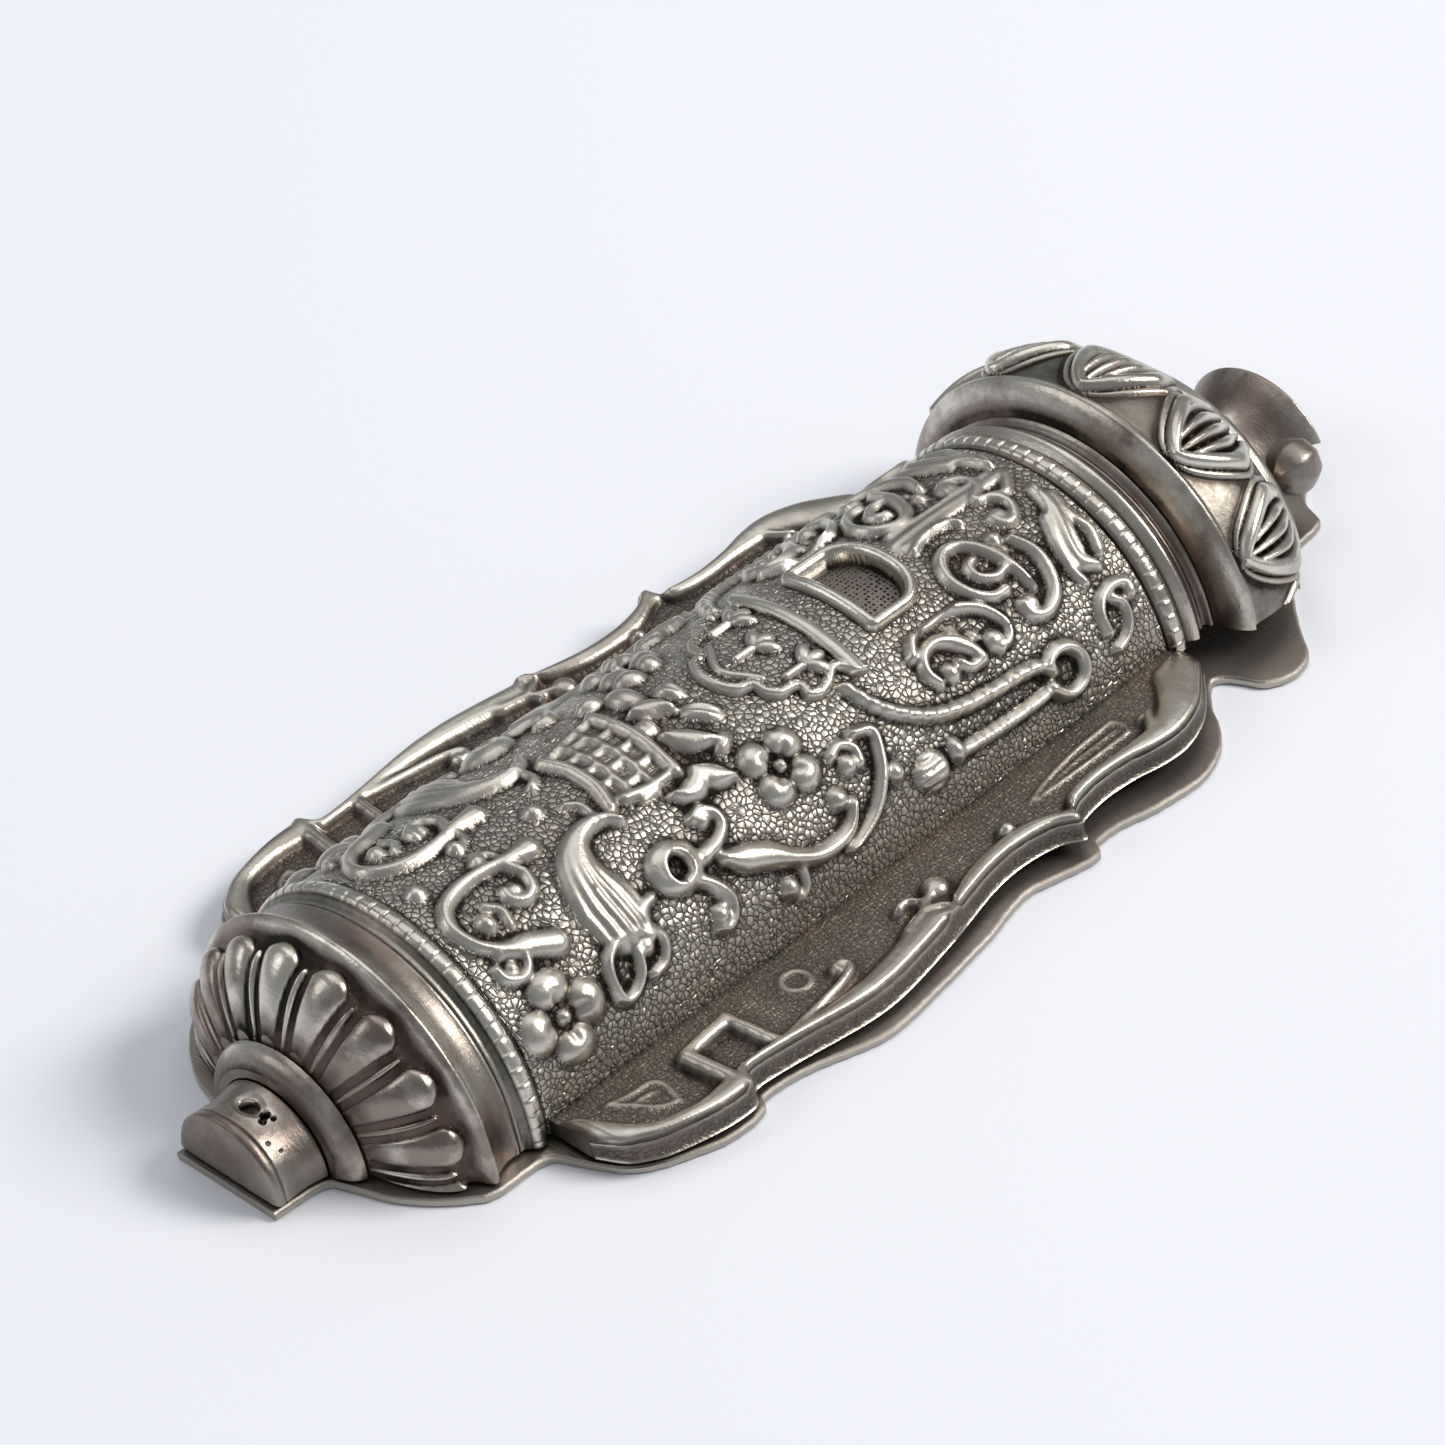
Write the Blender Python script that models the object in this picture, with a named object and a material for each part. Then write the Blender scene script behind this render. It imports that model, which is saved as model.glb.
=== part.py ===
"""Silver mezuzah case in the shape of a dressed scroll with a crown.

The case lies on its back: +Z is up and away from the back sheet, +Y runs from
the nail stub to the crown, +X is to the right as the front is read.  Lengths in
the constants are millimetres; stations along the case are counted from the
lower beaded ring and shifted so that the origin is under the middle of the case.
"""
import math

import bmesh
import bpy

# ---------------------------------------------------------------- driving sizes (mm)
MM = 0.001
GAP = 0.3                   # clearance left between neighbouring pieces
TAB_LOW_Y = -16.2           # lower end of the back sheet
TIP_Y = 93.2                # upper end of the crown finial
MIDDLE_Y = (TAB_LOW_Y + TIP_Y) / 2
SHEET = 0.7                 # back sheet thickness
AXIS_Z = SHEET + GAP        # height of the axis of every half-round piece
FLATTEN = 0.937             # height of a half-round piece over its half width
LIFT_PER_MM = 0.03          # the front's lower edge rises towards the crown
WALL = 0.8                  # wall of the front

BARREL_R = 14.3             # half width of the barrel
BARREL_Y = (1.1, 65.9)
UPPER_RING_R = 14.7         # upper beaded ring
STUB_R = 5.1
CROWN_R = 17.9              # ridge of the crown
LOBE_PITCH = 21.2           # degrees from one lobe of the base dome to the next, eight in all
LEAF_PITCH = 31.5           # degrees from one leaf panel of the crown to the next, five in all

WINDOW_Y = (44.0, 51.6)     # arched window in the barrel
WINDOW_HALF = 5.1           # half width of the window along the surface
BEZEL = 1.3                 # width of the window's frame
SHIELD_Y = (32.6, 41.8)
SHIELD_HALF = 7.0
PLAQUE = 0.7

WING_IN = BARREL_R + GAP    # inner edge of a wing
WING_RIM = 1.7
WING_WALL_Z = 1.2           # bottom of a wing at the lower ring
WING_REST_Y = 25.0          # station up to which a wing lies level
WING_FIELD = 1.1            # thickness of a wing's field
WING_HEIGHT = 2.1           # height of a wing's rim over its bottom

SCROLL_R = 3.6
SCROLL_BORE = 1.2
SCROLL_Y = (5.0, 61.0)

NAIL_SLOT = (0.95, 0.65)    # half length and half width of the nail slots
LOW_NAIL_Y = -13.2
HIGH_NAIL_Y = 88.3

# (station, half width) along the right edge of a wing and of the back sheet
WING_EDGE = [(1.1, 18.2), (2.1, 20.3), (3.4, 21.4), (5.0, 22.2), (8.5, 23.2), (11.3, 23.4), (12.2, 23.1),
             (12.9, 22.2), (14.2, 22.0), (17.5, 22.5), (22.6, 23.3), (26.0, 23.4), (29.2, 23.0), (33.5, 22.2),
             (38.7, 20.9), (42.2, 20.7), (45.3, 21.4), (46.9, 22.4), (47.5, 22.2), (48.2, 21.2), (50.8, 20.6),
             (53.9, 20.8), (56.6, 21.4), (59.2, 21.5), (62.0, 20.6), (64.2, 19.0), (66.2, 17.0)]
SHEET_EDGE = [(-16.2, 5.1), (-12.0, 5.4), (-11.0, 7.2), (-10.2, 9.6), (-9.2, 11.4), (-8.0, 13.0), (-6.5, 14.5),
              (-5.0, 15.3), (-0.6, 15.5), (0.3, 16.6), (1.2, 18.7), (2.4, 20.7), (4.2, 22.0), (6.5, 23.0),
              (8.6, 23.7), (11.3, 23.9), (12.8, 23.4), (13.6, 22.7), (17.5, 23.1), (20.8, 24.2), (23.8, 25.0),
              (26.6, 24.8), (31.5, 24.1), (35.8, 23.4), (40.6, 22.3), (43.3, 22.7), (46.9, 23.5), (47.9, 23.1),
              (48.5, 22.4), (50.9, 22.4), (54.4, 23.2), (58.7, 23.5), (61.8, 22.5), (64.1, 20.6), (65.5, 18.7),
              (67.6, 16.8), (68.7, 17.0), (69.4, 18.2), (70.2, 19.9), (72.2, 20.8), (74.0, 20.6), (75.2, 19.8),
              (76.6, 18.0), (78.6, 15.8), (81.4, 13.0), (84.0, 10.9), (88.2, 10.2), (89.6, 7.6), (92.4, 5.4),
              (93.2, 3.6)]

COLOURS = {
    "silver_bright": ((0.58, 0.55, 0.50), 0.32),
    "silver_dark": ((0.34, 0.31, 0.28), 0.45),
    "silver_worn": ((0.42, 0.36, 0.33), 0.40),
    "sheet_grey": ((0.30, 0.27, 0.24), 0.50),
}


# ---------------------------------------------------------------- helpers
def place(x, y, z):
    """A point of the case in metres, with the station counted from the origin."""
    return (x * MM, (y - MIDDLE_Y) * MM, z * MM)


def edge_height(y):
    """Height of the front's lower edge at a station."""
    return AXIS_Z + LIFT_PER_MM * max(0.0, y)


def metal(name):
    colour, roughness = COLOURS[name]
    material = bpy.data.materials.get(name)
    if material is None:
        material = bpy.data.materials.new(name)
        material.use_nodes = True
        shader = material.node_tree.nodes["Principled BSDF"]
        shader.inputs["Base Color"].default_value = (*colour, 1.0)
        shader.inputs["Metallic"].default_value = 1.0
        shader.inputs["Roughness"].default_value = roughness
    return material


def paper():
    material = bpy.data.materials.new("parchment")
    material.use_nodes = True
    shader = material.node_tree.nodes["Principled BSDF"]
    shader.inputs["Base Color"].default_value = (0.72, 0.62, 0.44, 1.0)
    shader.inputs["Roughness"].default_value = 0.85
    return material


def add_object(name, mesh_builder, material, parent=None, smooth=True):
    """Make one named piece from a filled bmesh."""
    bmesh.ops.recalc_face_normals(mesh_builder, faces=mesh_builder.faces)
    mesh = bpy.data.meshes.new(name)
    mesh_builder.to_mesh(mesh)
    mesh_builder.free()
    mesh.materials.append(material)
    if smooth:
        mesh.shade_smooth()
        mesh.set_sharp_from_angle(angle=math.radians(35))
    piece = bpy.data.objects.new(name, mesh)
    bpy.context.collection.objects.link(piece)
    piece.parent = parent
    return piece


def add_mesh(name, points, faces, material, parent=None):
    builder = bmesh.new()
    corners = [builder.verts.new(place(*point)) for point in points]
    for face in faces:
        builder.faces.new([corners[index] for index in face])
    return add_object(name, builder, material, parent)


def edge_at(edge, y):
    """Half width read off an edge table at a station."""
    for (y_low, x_low), (y_high, x_high) in zip(edge, edge[1:]):
        if y <= y_high:
            share = (y - y_low) / (y_high - y_low)
            return x_low + (x_high - x_low) * share
    return edge[-1][1]


def half_point(radius, y, angle, inset=0.0):
    """A point on a half-round section, angle counted from +X over the top."""
    x = (radius - inset) * math.cos(angle)
    z = AXIS_Z + (FLATTEN * radius - inset) * math.sin(angle)
    return (x, y, z)


def low_angle(radius, y, inset=0.0):
    """Angle at which a half-round section meets the front's lower edge."""
    height = edge_height(y) - AXIS_Z
    return math.asin(height / (FLATTEN * radius - inset))


def half_shell(name, profile, material, parent, wall=WALL, steps=28, relief=None):
    """A half-round shell turned over (station, half width) points, open below and at both ends."""
    points = []
    for y, radius in profile:
        for inset in (0.0, wall):
            start = low_angle(radius, y, inset)
            for step in range(steps + 1):
                angle = start + (math.pi - 2 * start) * step / steps
                swell = relief(y, angle) if relief and inset == 0.0 else 0.0
                points.append(half_point(radius + swell, y, angle, inset))
    row = 2 * (steps + 1)
    faces = []
    for section in range(len(profile) - 1):
        here = section * row
        after = here + row
        for step in range(steps):
            for shift in (0, steps + 1):
                a = here + shift + step
                b = after + shift + step
                faces.append((a, b, b + 1, a + 1))
        for step in (0, steps):
            faces.append((here + step, after + step, after + steps + 1 + step, here + steps + 1 + step))
    for start in (0, (len(profile) - 1) * row):
        for step in range(steps):
            a = start + step
            b = a + steps + 1
            faces.append((a, a + 1, b + 1, b))
    return add_mesh(name, points, faces, material, parent)


def half_disc(name, y_low, y_high, radius, material, parent, steps=28):
    """A solid half-round disc between two stations."""
    points = []
    for y in (y_low, y_high):
        start = low_angle(radius, y)
        for step in range(steps + 1):
            angle = start + (math.pi - 2 * start) * step / steps
            points.append(half_point(radius, y, angle))
    row = steps + 1
    faces = [tuple(range(row)), tuple(range(2 * row - 1, row - 1, -1))]
    for step in range(row):
        after = (step + 1) % row
        faces.append((step, after, row + after, row + step))
    return add_mesh(name, points, faces, material, parent)


def arc_profile(y_low, y_high, radius_low, radius_high, bulge, steps=6):
    """Stations and half widths of a section that bows out by bulge in its middle."""
    profile = []
    for step in range(steps + 1):
        share = step / steps
        radius = radius_low + (radius_high - radius_low) * share + bulge * math.sin(math.pi * share)
        profile.append((y_low + (y_high - y_low) * share, radius))
    return profile


def cutter(name, builder):
    piece = add_object(name, builder, metal("silver_dark"))
    piece.hide_render = True
    piece.display_type = "WIRE"
    return piece


def cut(piece, tool):
    modifier = piece.modifiers.new("cut", "BOOLEAN")
    modifier.operation = "DIFFERENCE"
    modifier.object = tool


def nail_cutter(name, y):
    """An upright slot-shaped bar through the front or the back sheet."""
    half_long, half_wide = NAIL_SLOT
    builder = bmesh.new()
    loops = []
    for z in (-2.0, 14.0):
        loop = []
        for step in range(20):
            angle = 2 * math.pi * step / 20
            x = half_long * math.cos(angle)
            loop.append(builder.verts.new(place(x, y + half_wide * math.sin(angle), z)))
        loops.append(loop)
    for step in range(20):
        after = (step + 1) % 20
        builder.faces.new((loops[0][step], loops[0][after], loops[1][after], loops[1][step]))
    builder.faces.new(loops[0][::-1])
    builder.faces.new(loops[1])
    return cutter(name, builder)


def arch_outline(margin, steps=14):
    """The arched window's outline as (distance across, station), grown by margin."""
    low, high = WINDOW_Y
    half = WINDOW_HALF + margin
    outline = [(-half, low - margin), (half, low - margin)]
    spring = low + 2.0
    for step in range(steps + 1):
        angle = math.pi * step / steps
        outline.append((half * math.cos(angle), spring + (high - spring + margin) * math.sin(angle)))
    return outline


def shield_outline(steps=8):
    """Breastplate outline: straight top, sides drawn in, three scallops along the bottom."""
    low, high = SHIELD_Y
    outline = [(-SHIELD_HALF, high), (-SHIELD_HALF * 0.94, (low + high) / 2)]
    for scallop in range(3):
        middle = SHIELD_HALF * (scallop - 1) * 0.6
        depth = low if scallop == 1 else low + 1.2
        for step in range(steps + 1):
            angle = math.pi * (1 + step / steps)
            reach = SHIELD_HALF * 0.29
            outline.append((middle + reach * math.cos(angle), depth + 1.6 + 1.6 * math.sin(angle)))
    outline += [(SHIELD_HALF * 0.94, (low + high) / 2), (SHIELD_HALF, high)]
    return outline


def bent_prism(name, outline, below, above, material, parent, hole=None):
    """A plate cut to an outline and bent over the barrel between two offsets from its surface."""
    builder = bmesh.new()
    loops = [[builder.verts.new((across, y, below)) for across, y in loop] for loop in (outline, hole) if loop]
    if hole:
        for step in range(len(outline)):
            after = (step + 1) % len(outline)
            builder.faces.new((loops[0][step], loops[0][after], loops[1][after], loops[1][step]))
    else:
        builder.faces.new(loops[0])
    reach = math.ceil(max(across for across, _ in outline))
    for across in range(1 - reach, reach):
        everything = builder.verts[:] + builder.edges[:] + builder.faces[:]
        bmesh.ops.bisect_plane(builder, geom=everything, dist=1e-4, plane_co=(across, 0, 0), plane_no=(1, 0, 0))
    raised = bmesh.ops.extrude_face_region(builder, geom=builder.faces[:], use_keep_orig=True)
    for item in raised["geom"]:
        if isinstance(item, bmesh.types.BMVert):
            item.co.z = above
    for vertex in builder.verts:
        vertex.co = place(*bent_point(*vertex.co))
    return add_object(name, builder, material, parent)


def bent_point(across, y, offset):
    """A point over the barrel, across millimetres along the surface from its crest."""
    angle = math.pi / 2 - across / BARREL_R
    return half_point(BARREL_R, y, angle, -offset)


# ---------------------------------------------------------------- the back sheet and the scroll
def back_sheet():
    right = [(x, y) for y, x in SHEET_EDGE]
    outline = right + [(-x, y) for x, y in reversed(right)]
    builder = bmesh.new()
    bottom = [builder.verts.new(place(x, y, 0.0)) for x, y in outline]
    top = [builder.verts.new(place(x, y, SHEET)) for x, y in outline]
    for step in range(len(outline)):
        after = (step + 1) % len(outline)
        builder.faces.new((bottom[step], bottom[after], top[after], top[step]))
    builder.faces.new(bottom[::-1])
    builder.faces.new(top)
    sheet = add_object("back_plate", builder, metal("sheet_grey"), smooth=False)
    for name, y in (("low_nail", LOW_NAIL_Y), ("high_nail", HIGH_NAIL_Y)):
        cut(sheet, bpy.data.objects[name])
    return sheet


def parchment_roll(steps=24):
    centre_z = SHEET + GAP + SCROLL_R
    points = []
    for y in SCROLL_Y:
        for radius in (SCROLL_R, SCROLL_BORE):
            for step in range(steps):
                angle = 2 * math.pi * step / steps
                points.append((radius * math.cos(angle), y, centre_z + radius * math.sin(angle)))
    faces = []
    for step in range(steps):
        after = (step + 1) % steps
        for a, b in ((0, 2), (1, 3), (0, 1), (2, 3)):
            faces.append((a * steps + step, a * steps + after, b * steps + after, b * steps + step))
    return add_mesh("parchment_scroll", points, faces, paper())


# ---------------------------------------------------------------- the front
def crest_turns(angle, pitch):
    """How many pitches a point of a half-round section is away from its crest."""
    return (math.pi / 2 - angle) / math.radians(pitch)


def gadroon(y, angle):
    """Swell of the base dome's lobes, fading at the rim and at the stub."""
    share = (y + 9.6) / 3.4
    if share <= 0.0 or share >= 1.0:
        return 0.0
    return 0.8 * math.sin(math.pi * share) * abs(math.sin(math.pi * crest_turns(angle, LOBE_PITCH)))


def leaf_swell(y, angle):
    """Swell of the crown's leaf panels."""
    share = (y - 72.6) / 8.6
    if share <= 0.0 or share >= 1.0:
        return 0.0
    return 0.7 * math.sin(math.pi * share) * abs(math.cos(math.pi * crest_turns(angle, LEAF_PITCH)))


def base_pieces(front):
    bright = metal("silver_bright")
    worn = metal("silver_worn")
    half_disc("base_end_cap", -15.9, -15.2, STUB_R, worn, front)
    stub = half_shell("base_stub", [(-14.9, STUB_R), (-13.2, STUB_R), (-11.5, STUB_R + 0.1)], worn, front, steps=20)
    cut(stub, bpy.data.objects["low_nail"])
    half_shell("base_step_ring", arc_profile(-11.2, -9.9, 6.4, 8.0, 0.5, 3), worn, front, 1.0, 24)
    dome = [(-9.6, 8.7), (-9.1, 10.2), (-8.4, 11.6), (-7.6, 12.7), (-6.7, 13.4), (-5.8, 13.8), (-5.2, 14.2),
            (-4.9, 14.8), (-4.4, 14.8)]
    half_shell("base_dome", dome, worn, front, 0.8, 54, gadroon)
    half_shell("base_collar", arc_profile(-4.1, -1.7, 14.4, 14.0, -0.3, 3), bright, front)
    half_shell("lower_beaded_ring", arc_profile(-1.4, 0.8, 14.5, 14.5, 0.5, 4), bright, front, 1.0)


def barrel(front):
    shell = half_shell("barrel_shell", [(BARREL_Y[0], BARREL_R), (BARREL_Y[1], BARREL_R)], metal("silver_dark"),
                       front, steps=48)
    builder = bmesh.new()
    outline = arch_outline(GAP)
    low_loop = [builder.verts.new(place(across, y, 8.0)) for across, y in outline]
    high_loop = [builder.verts.new(place(across, y, 20.0)) for across, y in outline]
    for step in range(len(outline)):
        after = (step + 1) % len(outline)
        builder.faces.new((low_loop[step], low_loop[after], high_loop[after], high_loop[step]))
    builder.faces.new(low_loop[::-1])
    builder.faces.new(high_loop)
    cut(shell, cutter("window_cutter", builder))


def window_pieces(front):
    bent_prism("window_bezel", arch_outline(-GAP), -0.6, 0.9, metal("silver_bright"), front, arch_outline(-BEZEL))
    bent_prism("window_backing", arch_outline(-BEZEL - GAP), -0.7, -0.1, metal("silver_dark"), front)


def breastplate(front):
    bent_prism("breastplate", shield_outline(), GAP, GAP + PLAQUE, metal("silver_bright"), front)


def upper_rings(front):
    bright = metal("silver_bright")
    half_shell("upper_beaded_ring", arc_profile(66.2, 67.8, 14.3, 14.3, 0.4, 3), bright, front, 1.0)
    half_shell("neck_ring", arc_profile(68.1, 69.7, 14.1, 14.1, 0.5, 4), bright, front, 1.0)


def crown_pieces(front):
    bright = metal("silver_bright")
    worn = metal("silver_worn")
    half_shell("crown_neck", [(70.0, 13.7), (70.35, 13.6), (70.7, 14.0)], metal("silver_dark"), front)
    flange = [(71.0, 14.8), (71.1, 16.2), (71.3, 17.1), (71.6, 17.7), (71.9, CROWN_R), (72.2, CROWN_R)]
    half_shell("crown_flange", flange, worn, front, 1.0)
    band = [(72.5, 17.4), (73.2, 17.5), (74.6, 17.6), (76.2, 17.2), (77.8, 16.4), (79.4, 15.3), (80.7, 14.2)]
    half_shell("crown_leaf_band", band, bright, front, 0.8, 40, leaf_swell)
    half_shell("crown_rim", [(81.0, 13.8), (81.4, 13.9), (81.8, 13.7)], bright, front, 0.8)
    cap = [(82.1, 12.6), (82.9, 12.0), (83.7, 10.8), (84.4, 9.2), (84.8, 7.4)]
    half_shell("crown_cap", cap, worn, front, 0.8)
    cup = [(85.1, 5.2), (86.3, 4.7), (87.6, 4.6), (89.2, 4.9), (90.8, 5.6), (92.2, 6.5), (93.0, 7.0), (93.2, 7.1)]
    finial = half_shell("finial_cup", cup, worn, front, 0.8, 24)
    cut(finial, bpy.data.objects["high_nail"])
    for name, side in (("finial_ball_right", 1), ("finial_ball_left", -1)):
        builder = bmesh.new()
        bmesh.ops.create_uvsphere(builder, u_segments=12, v_segments=8, radius=2.3 * MM)
        ball = add_object(name, builder, worn, front)
        ball.location = place(8.3 * side, 87.3, edge_height(87.3) + 2.0)


def wing_height(y):
    return WING_WALL_Z + LIFT_PER_MM * max(0.0, y - WING_REST_Y)


def wing(name, side, front):
    """A scrolled wing: a flat field beside the barrel with a raised rim along its outer edge."""
    stations = sorted({y for y, _ in WING_EDGE} | {WING_EDGE[0][0] + 3.2 * step for step in range(1, 20)})
    points = []
    for y in stations:
        outer = edge_at(WING_EDGE, y)
        inner = WING_IN if y < BARREL_Y[1] else UPPER_RING_R + 2 * GAP
        bottom = wing_height(y)
        rim = max(inner + 0.3, outer - WING_RIM)
        section = [(inner, bottom), (outer, bottom), (outer, bottom + WING_HEIGHT - 0.5),
                   (outer - 0.4, bottom + WING_HEIGHT), (rim + 0.3, bottom + WING_HEIGHT),
                   (rim, bottom + WING_FIELD), (inner, bottom + WING_FIELD)]
        points += [(side * x, y, z) for x, z in section]
    count = 7
    faces = [tuple(range(count)), tuple(range(len(points) - 1, len(points) - count - 1, -1))]
    for section in range(len(stations) - 1):
        for corner in range(count):
            a = section * count + corner
            b = section * count + (corner + 1) % count
            faces.append((a, b, b + count, a + count))
    add_mesh(name, points, faces, metal("silver_dark"), front)


def build():
    for old in list(bpy.data.objects):
        bpy.data.objects.remove(old, do_unlink=True)
    nail_cutter("low_nail", LOW_NAIL_Y)
    nail_cutter("high_nail", HIGH_NAIL_Y)
    back_sheet()
    parchment_roll()
    front = bpy.data.objects.new("front_axis", None)
    bpy.context.collection.objects.link(front)
    base_pieces(front)
    barrel(front)
    window_pieces(front)
    breastplate(front)
    upper_rings(front)
    crown_pieces(front)
    wing("wing_right", 1, front)
    wing("wing_left", -1, front)


build()
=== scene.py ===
"""Oxidised silver mezuzah case, lying on its back on a pale table.

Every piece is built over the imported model. Lengths are millimetres. Stations (y) are counted from the
lower beaded ring, and s is the distance along the barrel's surface from its crest, to the right as the
front is read.
"""
import math

import bpy
import numpy as np
from mathutils import Matrix, Vector


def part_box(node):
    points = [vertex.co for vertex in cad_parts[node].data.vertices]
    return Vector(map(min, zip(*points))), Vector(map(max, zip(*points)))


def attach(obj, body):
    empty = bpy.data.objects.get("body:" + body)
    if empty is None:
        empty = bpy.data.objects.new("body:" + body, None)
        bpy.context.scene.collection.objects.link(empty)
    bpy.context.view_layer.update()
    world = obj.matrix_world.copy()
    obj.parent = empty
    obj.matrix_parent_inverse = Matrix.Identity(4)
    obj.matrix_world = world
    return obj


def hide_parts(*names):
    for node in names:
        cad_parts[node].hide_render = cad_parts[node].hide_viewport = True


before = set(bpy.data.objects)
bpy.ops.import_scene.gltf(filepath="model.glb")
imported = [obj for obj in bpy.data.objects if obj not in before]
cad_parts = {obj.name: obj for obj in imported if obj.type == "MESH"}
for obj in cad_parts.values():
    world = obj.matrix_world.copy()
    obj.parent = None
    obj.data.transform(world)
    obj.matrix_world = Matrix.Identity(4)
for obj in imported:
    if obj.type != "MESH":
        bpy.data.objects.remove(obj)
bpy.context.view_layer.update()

MM = 0.001


def node_box(name):
    """Lowest and highest corner of a CAD node in millimetres."""
    return [np.array(corner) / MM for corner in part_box(name)]


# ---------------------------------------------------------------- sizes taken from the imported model
SHEET_LOW_END = -16.2       # station of the back sheet's lower end
ORIGIN = node_box("back_plate")[0][1] - SHEET_LOW_END
BARREL_HIGH = node_box("barrel_shell")[1]
BARREL_R = BARREL_HIGH[0]
AXIS_Z = node_box("base_end_cap")[0][2]
FLATTEN = (BARREL_HIGH[2] - AXIS_Z) / BARREL_R
SHEET = node_box("back_plate")[1][2]
LIFT_PER_MM = 0.03          # how fast the front's lower edge climbs from the table
WALL = 0.8                  # thickness of the front


def stations(name):
    """The stations between which a CAD node lies."""
    low, high = node_box(name)
    return low[1] - ORIGIN, high[1] - ORIGIN


# ---------------------------------------------------------------- meshes
def blur(field, radius, passes=2):
    """A box blur run a few times along both axes."""
    for axis in (0, 1):
        for _ in range(passes):
            margins = [(radius + 1, radius) if a == axis else (0, 0) for a in (0, 1)]
            total = np.cumsum(np.pad(field, margins, mode="edge"), axis=axis)
            size = field.shape[axis]
            upper = np.take(total, range(2 * radius + 1, 2 * radius + 1 + size), axis=axis)
            lower = np.take(total, range(0, size), axis=axis)
            field = (upper - lower) / (2 * radius + 1)
    return field


def quads(rows, cols, first, flip):
    """Corner indices of a grid's faces."""
    corner = (np.arange(rows - 1)[:, None] * cols + np.arange(cols - 1)[None, :]).ravel() + first
    loop = [corner, corner + 1, corner + cols + 1, corner + cols]
    return np.stack(loop[::-1] if flip else loop, 1)


def put(name, data):
    """A new object, linked into the scene."""
    thing = bpy.data.objects.new(name, data)
    bpy.context.scene.collection.objects.link(thing)
    return thing


def add_piece(name, grids, body, material, replaces=()):
    """A mesh from (points in millimetres, flip, {attribute: values}) grids, riding on a body."""
    points = []
    faces = []
    values = {"cavity": [], "ground": []}
    first = 0
    for grid, flip, extra in grids:
        rows, cols, _ = grid.shape
        faces.append(quads(rows, cols, first, flip))
        first += rows * cols
        points.append(grid.reshape(-1, 3))
        for key, stored in values.items():
            stored.append(np.asarray(extra[key]).ravel() if key in extra else np.zeros(rows * cols))
    points = np.concatenate(points) * MM
    points[:, 1] += ORIGIN * MM
    faces = np.concatenate(faces)
    mesh = bpy.data.meshes.new(name)
    mesh.vertices.add(len(points))
    mesh.vertices.foreach_set("co", points.ravel())
    mesh.loops.add(faces.size)
    mesh.loops.foreach_set("vertex_index", faces.ravel().astype(np.int32))
    mesh.polygons.add(len(faces))
    mesh.polygons.foreach_set("loop_start", np.arange(0, faces.size, 4, dtype=np.int32))
    mesh.update(calc_edges=True)
    for key, stored in values.items():
        layer = mesh.attributes.new(key, "FLOAT", "POINT")
        layer.data.foreach_set("value", np.concatenate(stored).astype(np.float32))
    mesh.shade_smooth()
    mesh.set_sharp_from_angle(angle=math.radians(60))
    mesh.validate()
    piece = put(name, mesh)
    mesh.materials.append(material)
    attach(piece, body)
    if replaces:
        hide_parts(*replaces)


# ---------------------------------------------------------------- relief drawing
def curve_through(points, spacing=0.12):
    """Points of a Catmull-Rom curve through the given ones, about spacing apart."""
    knots = np.array(points, float)
    ends = np.vstack([2 * knots[0] - knots[1], knots, 2 * knots[-1] - knots[-2]])
    drawn = []
    for a, b, c, d in zip(ends, ends[1:], ends[2:], ends[3:]):
        count = max(2, int(np.linalg.norm(c - b) / spacing))
        t = np.linspace(0, 1, count, endpoint=False)[:, None]
        drawn.append(0.5 * (2 * b + (c - a) * t + (2 * a - 5 * b + 4 * c - d) * t ** 2
                            + (3 * b - a - 3 * c + d) * t ** 3))
    return np.vstack(drawn + [knots[-1:]])


STROKE_SWELL = 1.22         # a strap's width with its soft foot, over its drawn width
CUT_DEPTH = 0.24            # of the cross cuts in a twisted cord
FLUTE_DEPTH = 0.42          # of the lengthwise flutes in a leaf, as a share of its height
FLUTE_DRIFT = 1.6           # how far the flutes wander to the side along a leaf
CHUNK = 4000                # points measured at a time, to save memory


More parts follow.
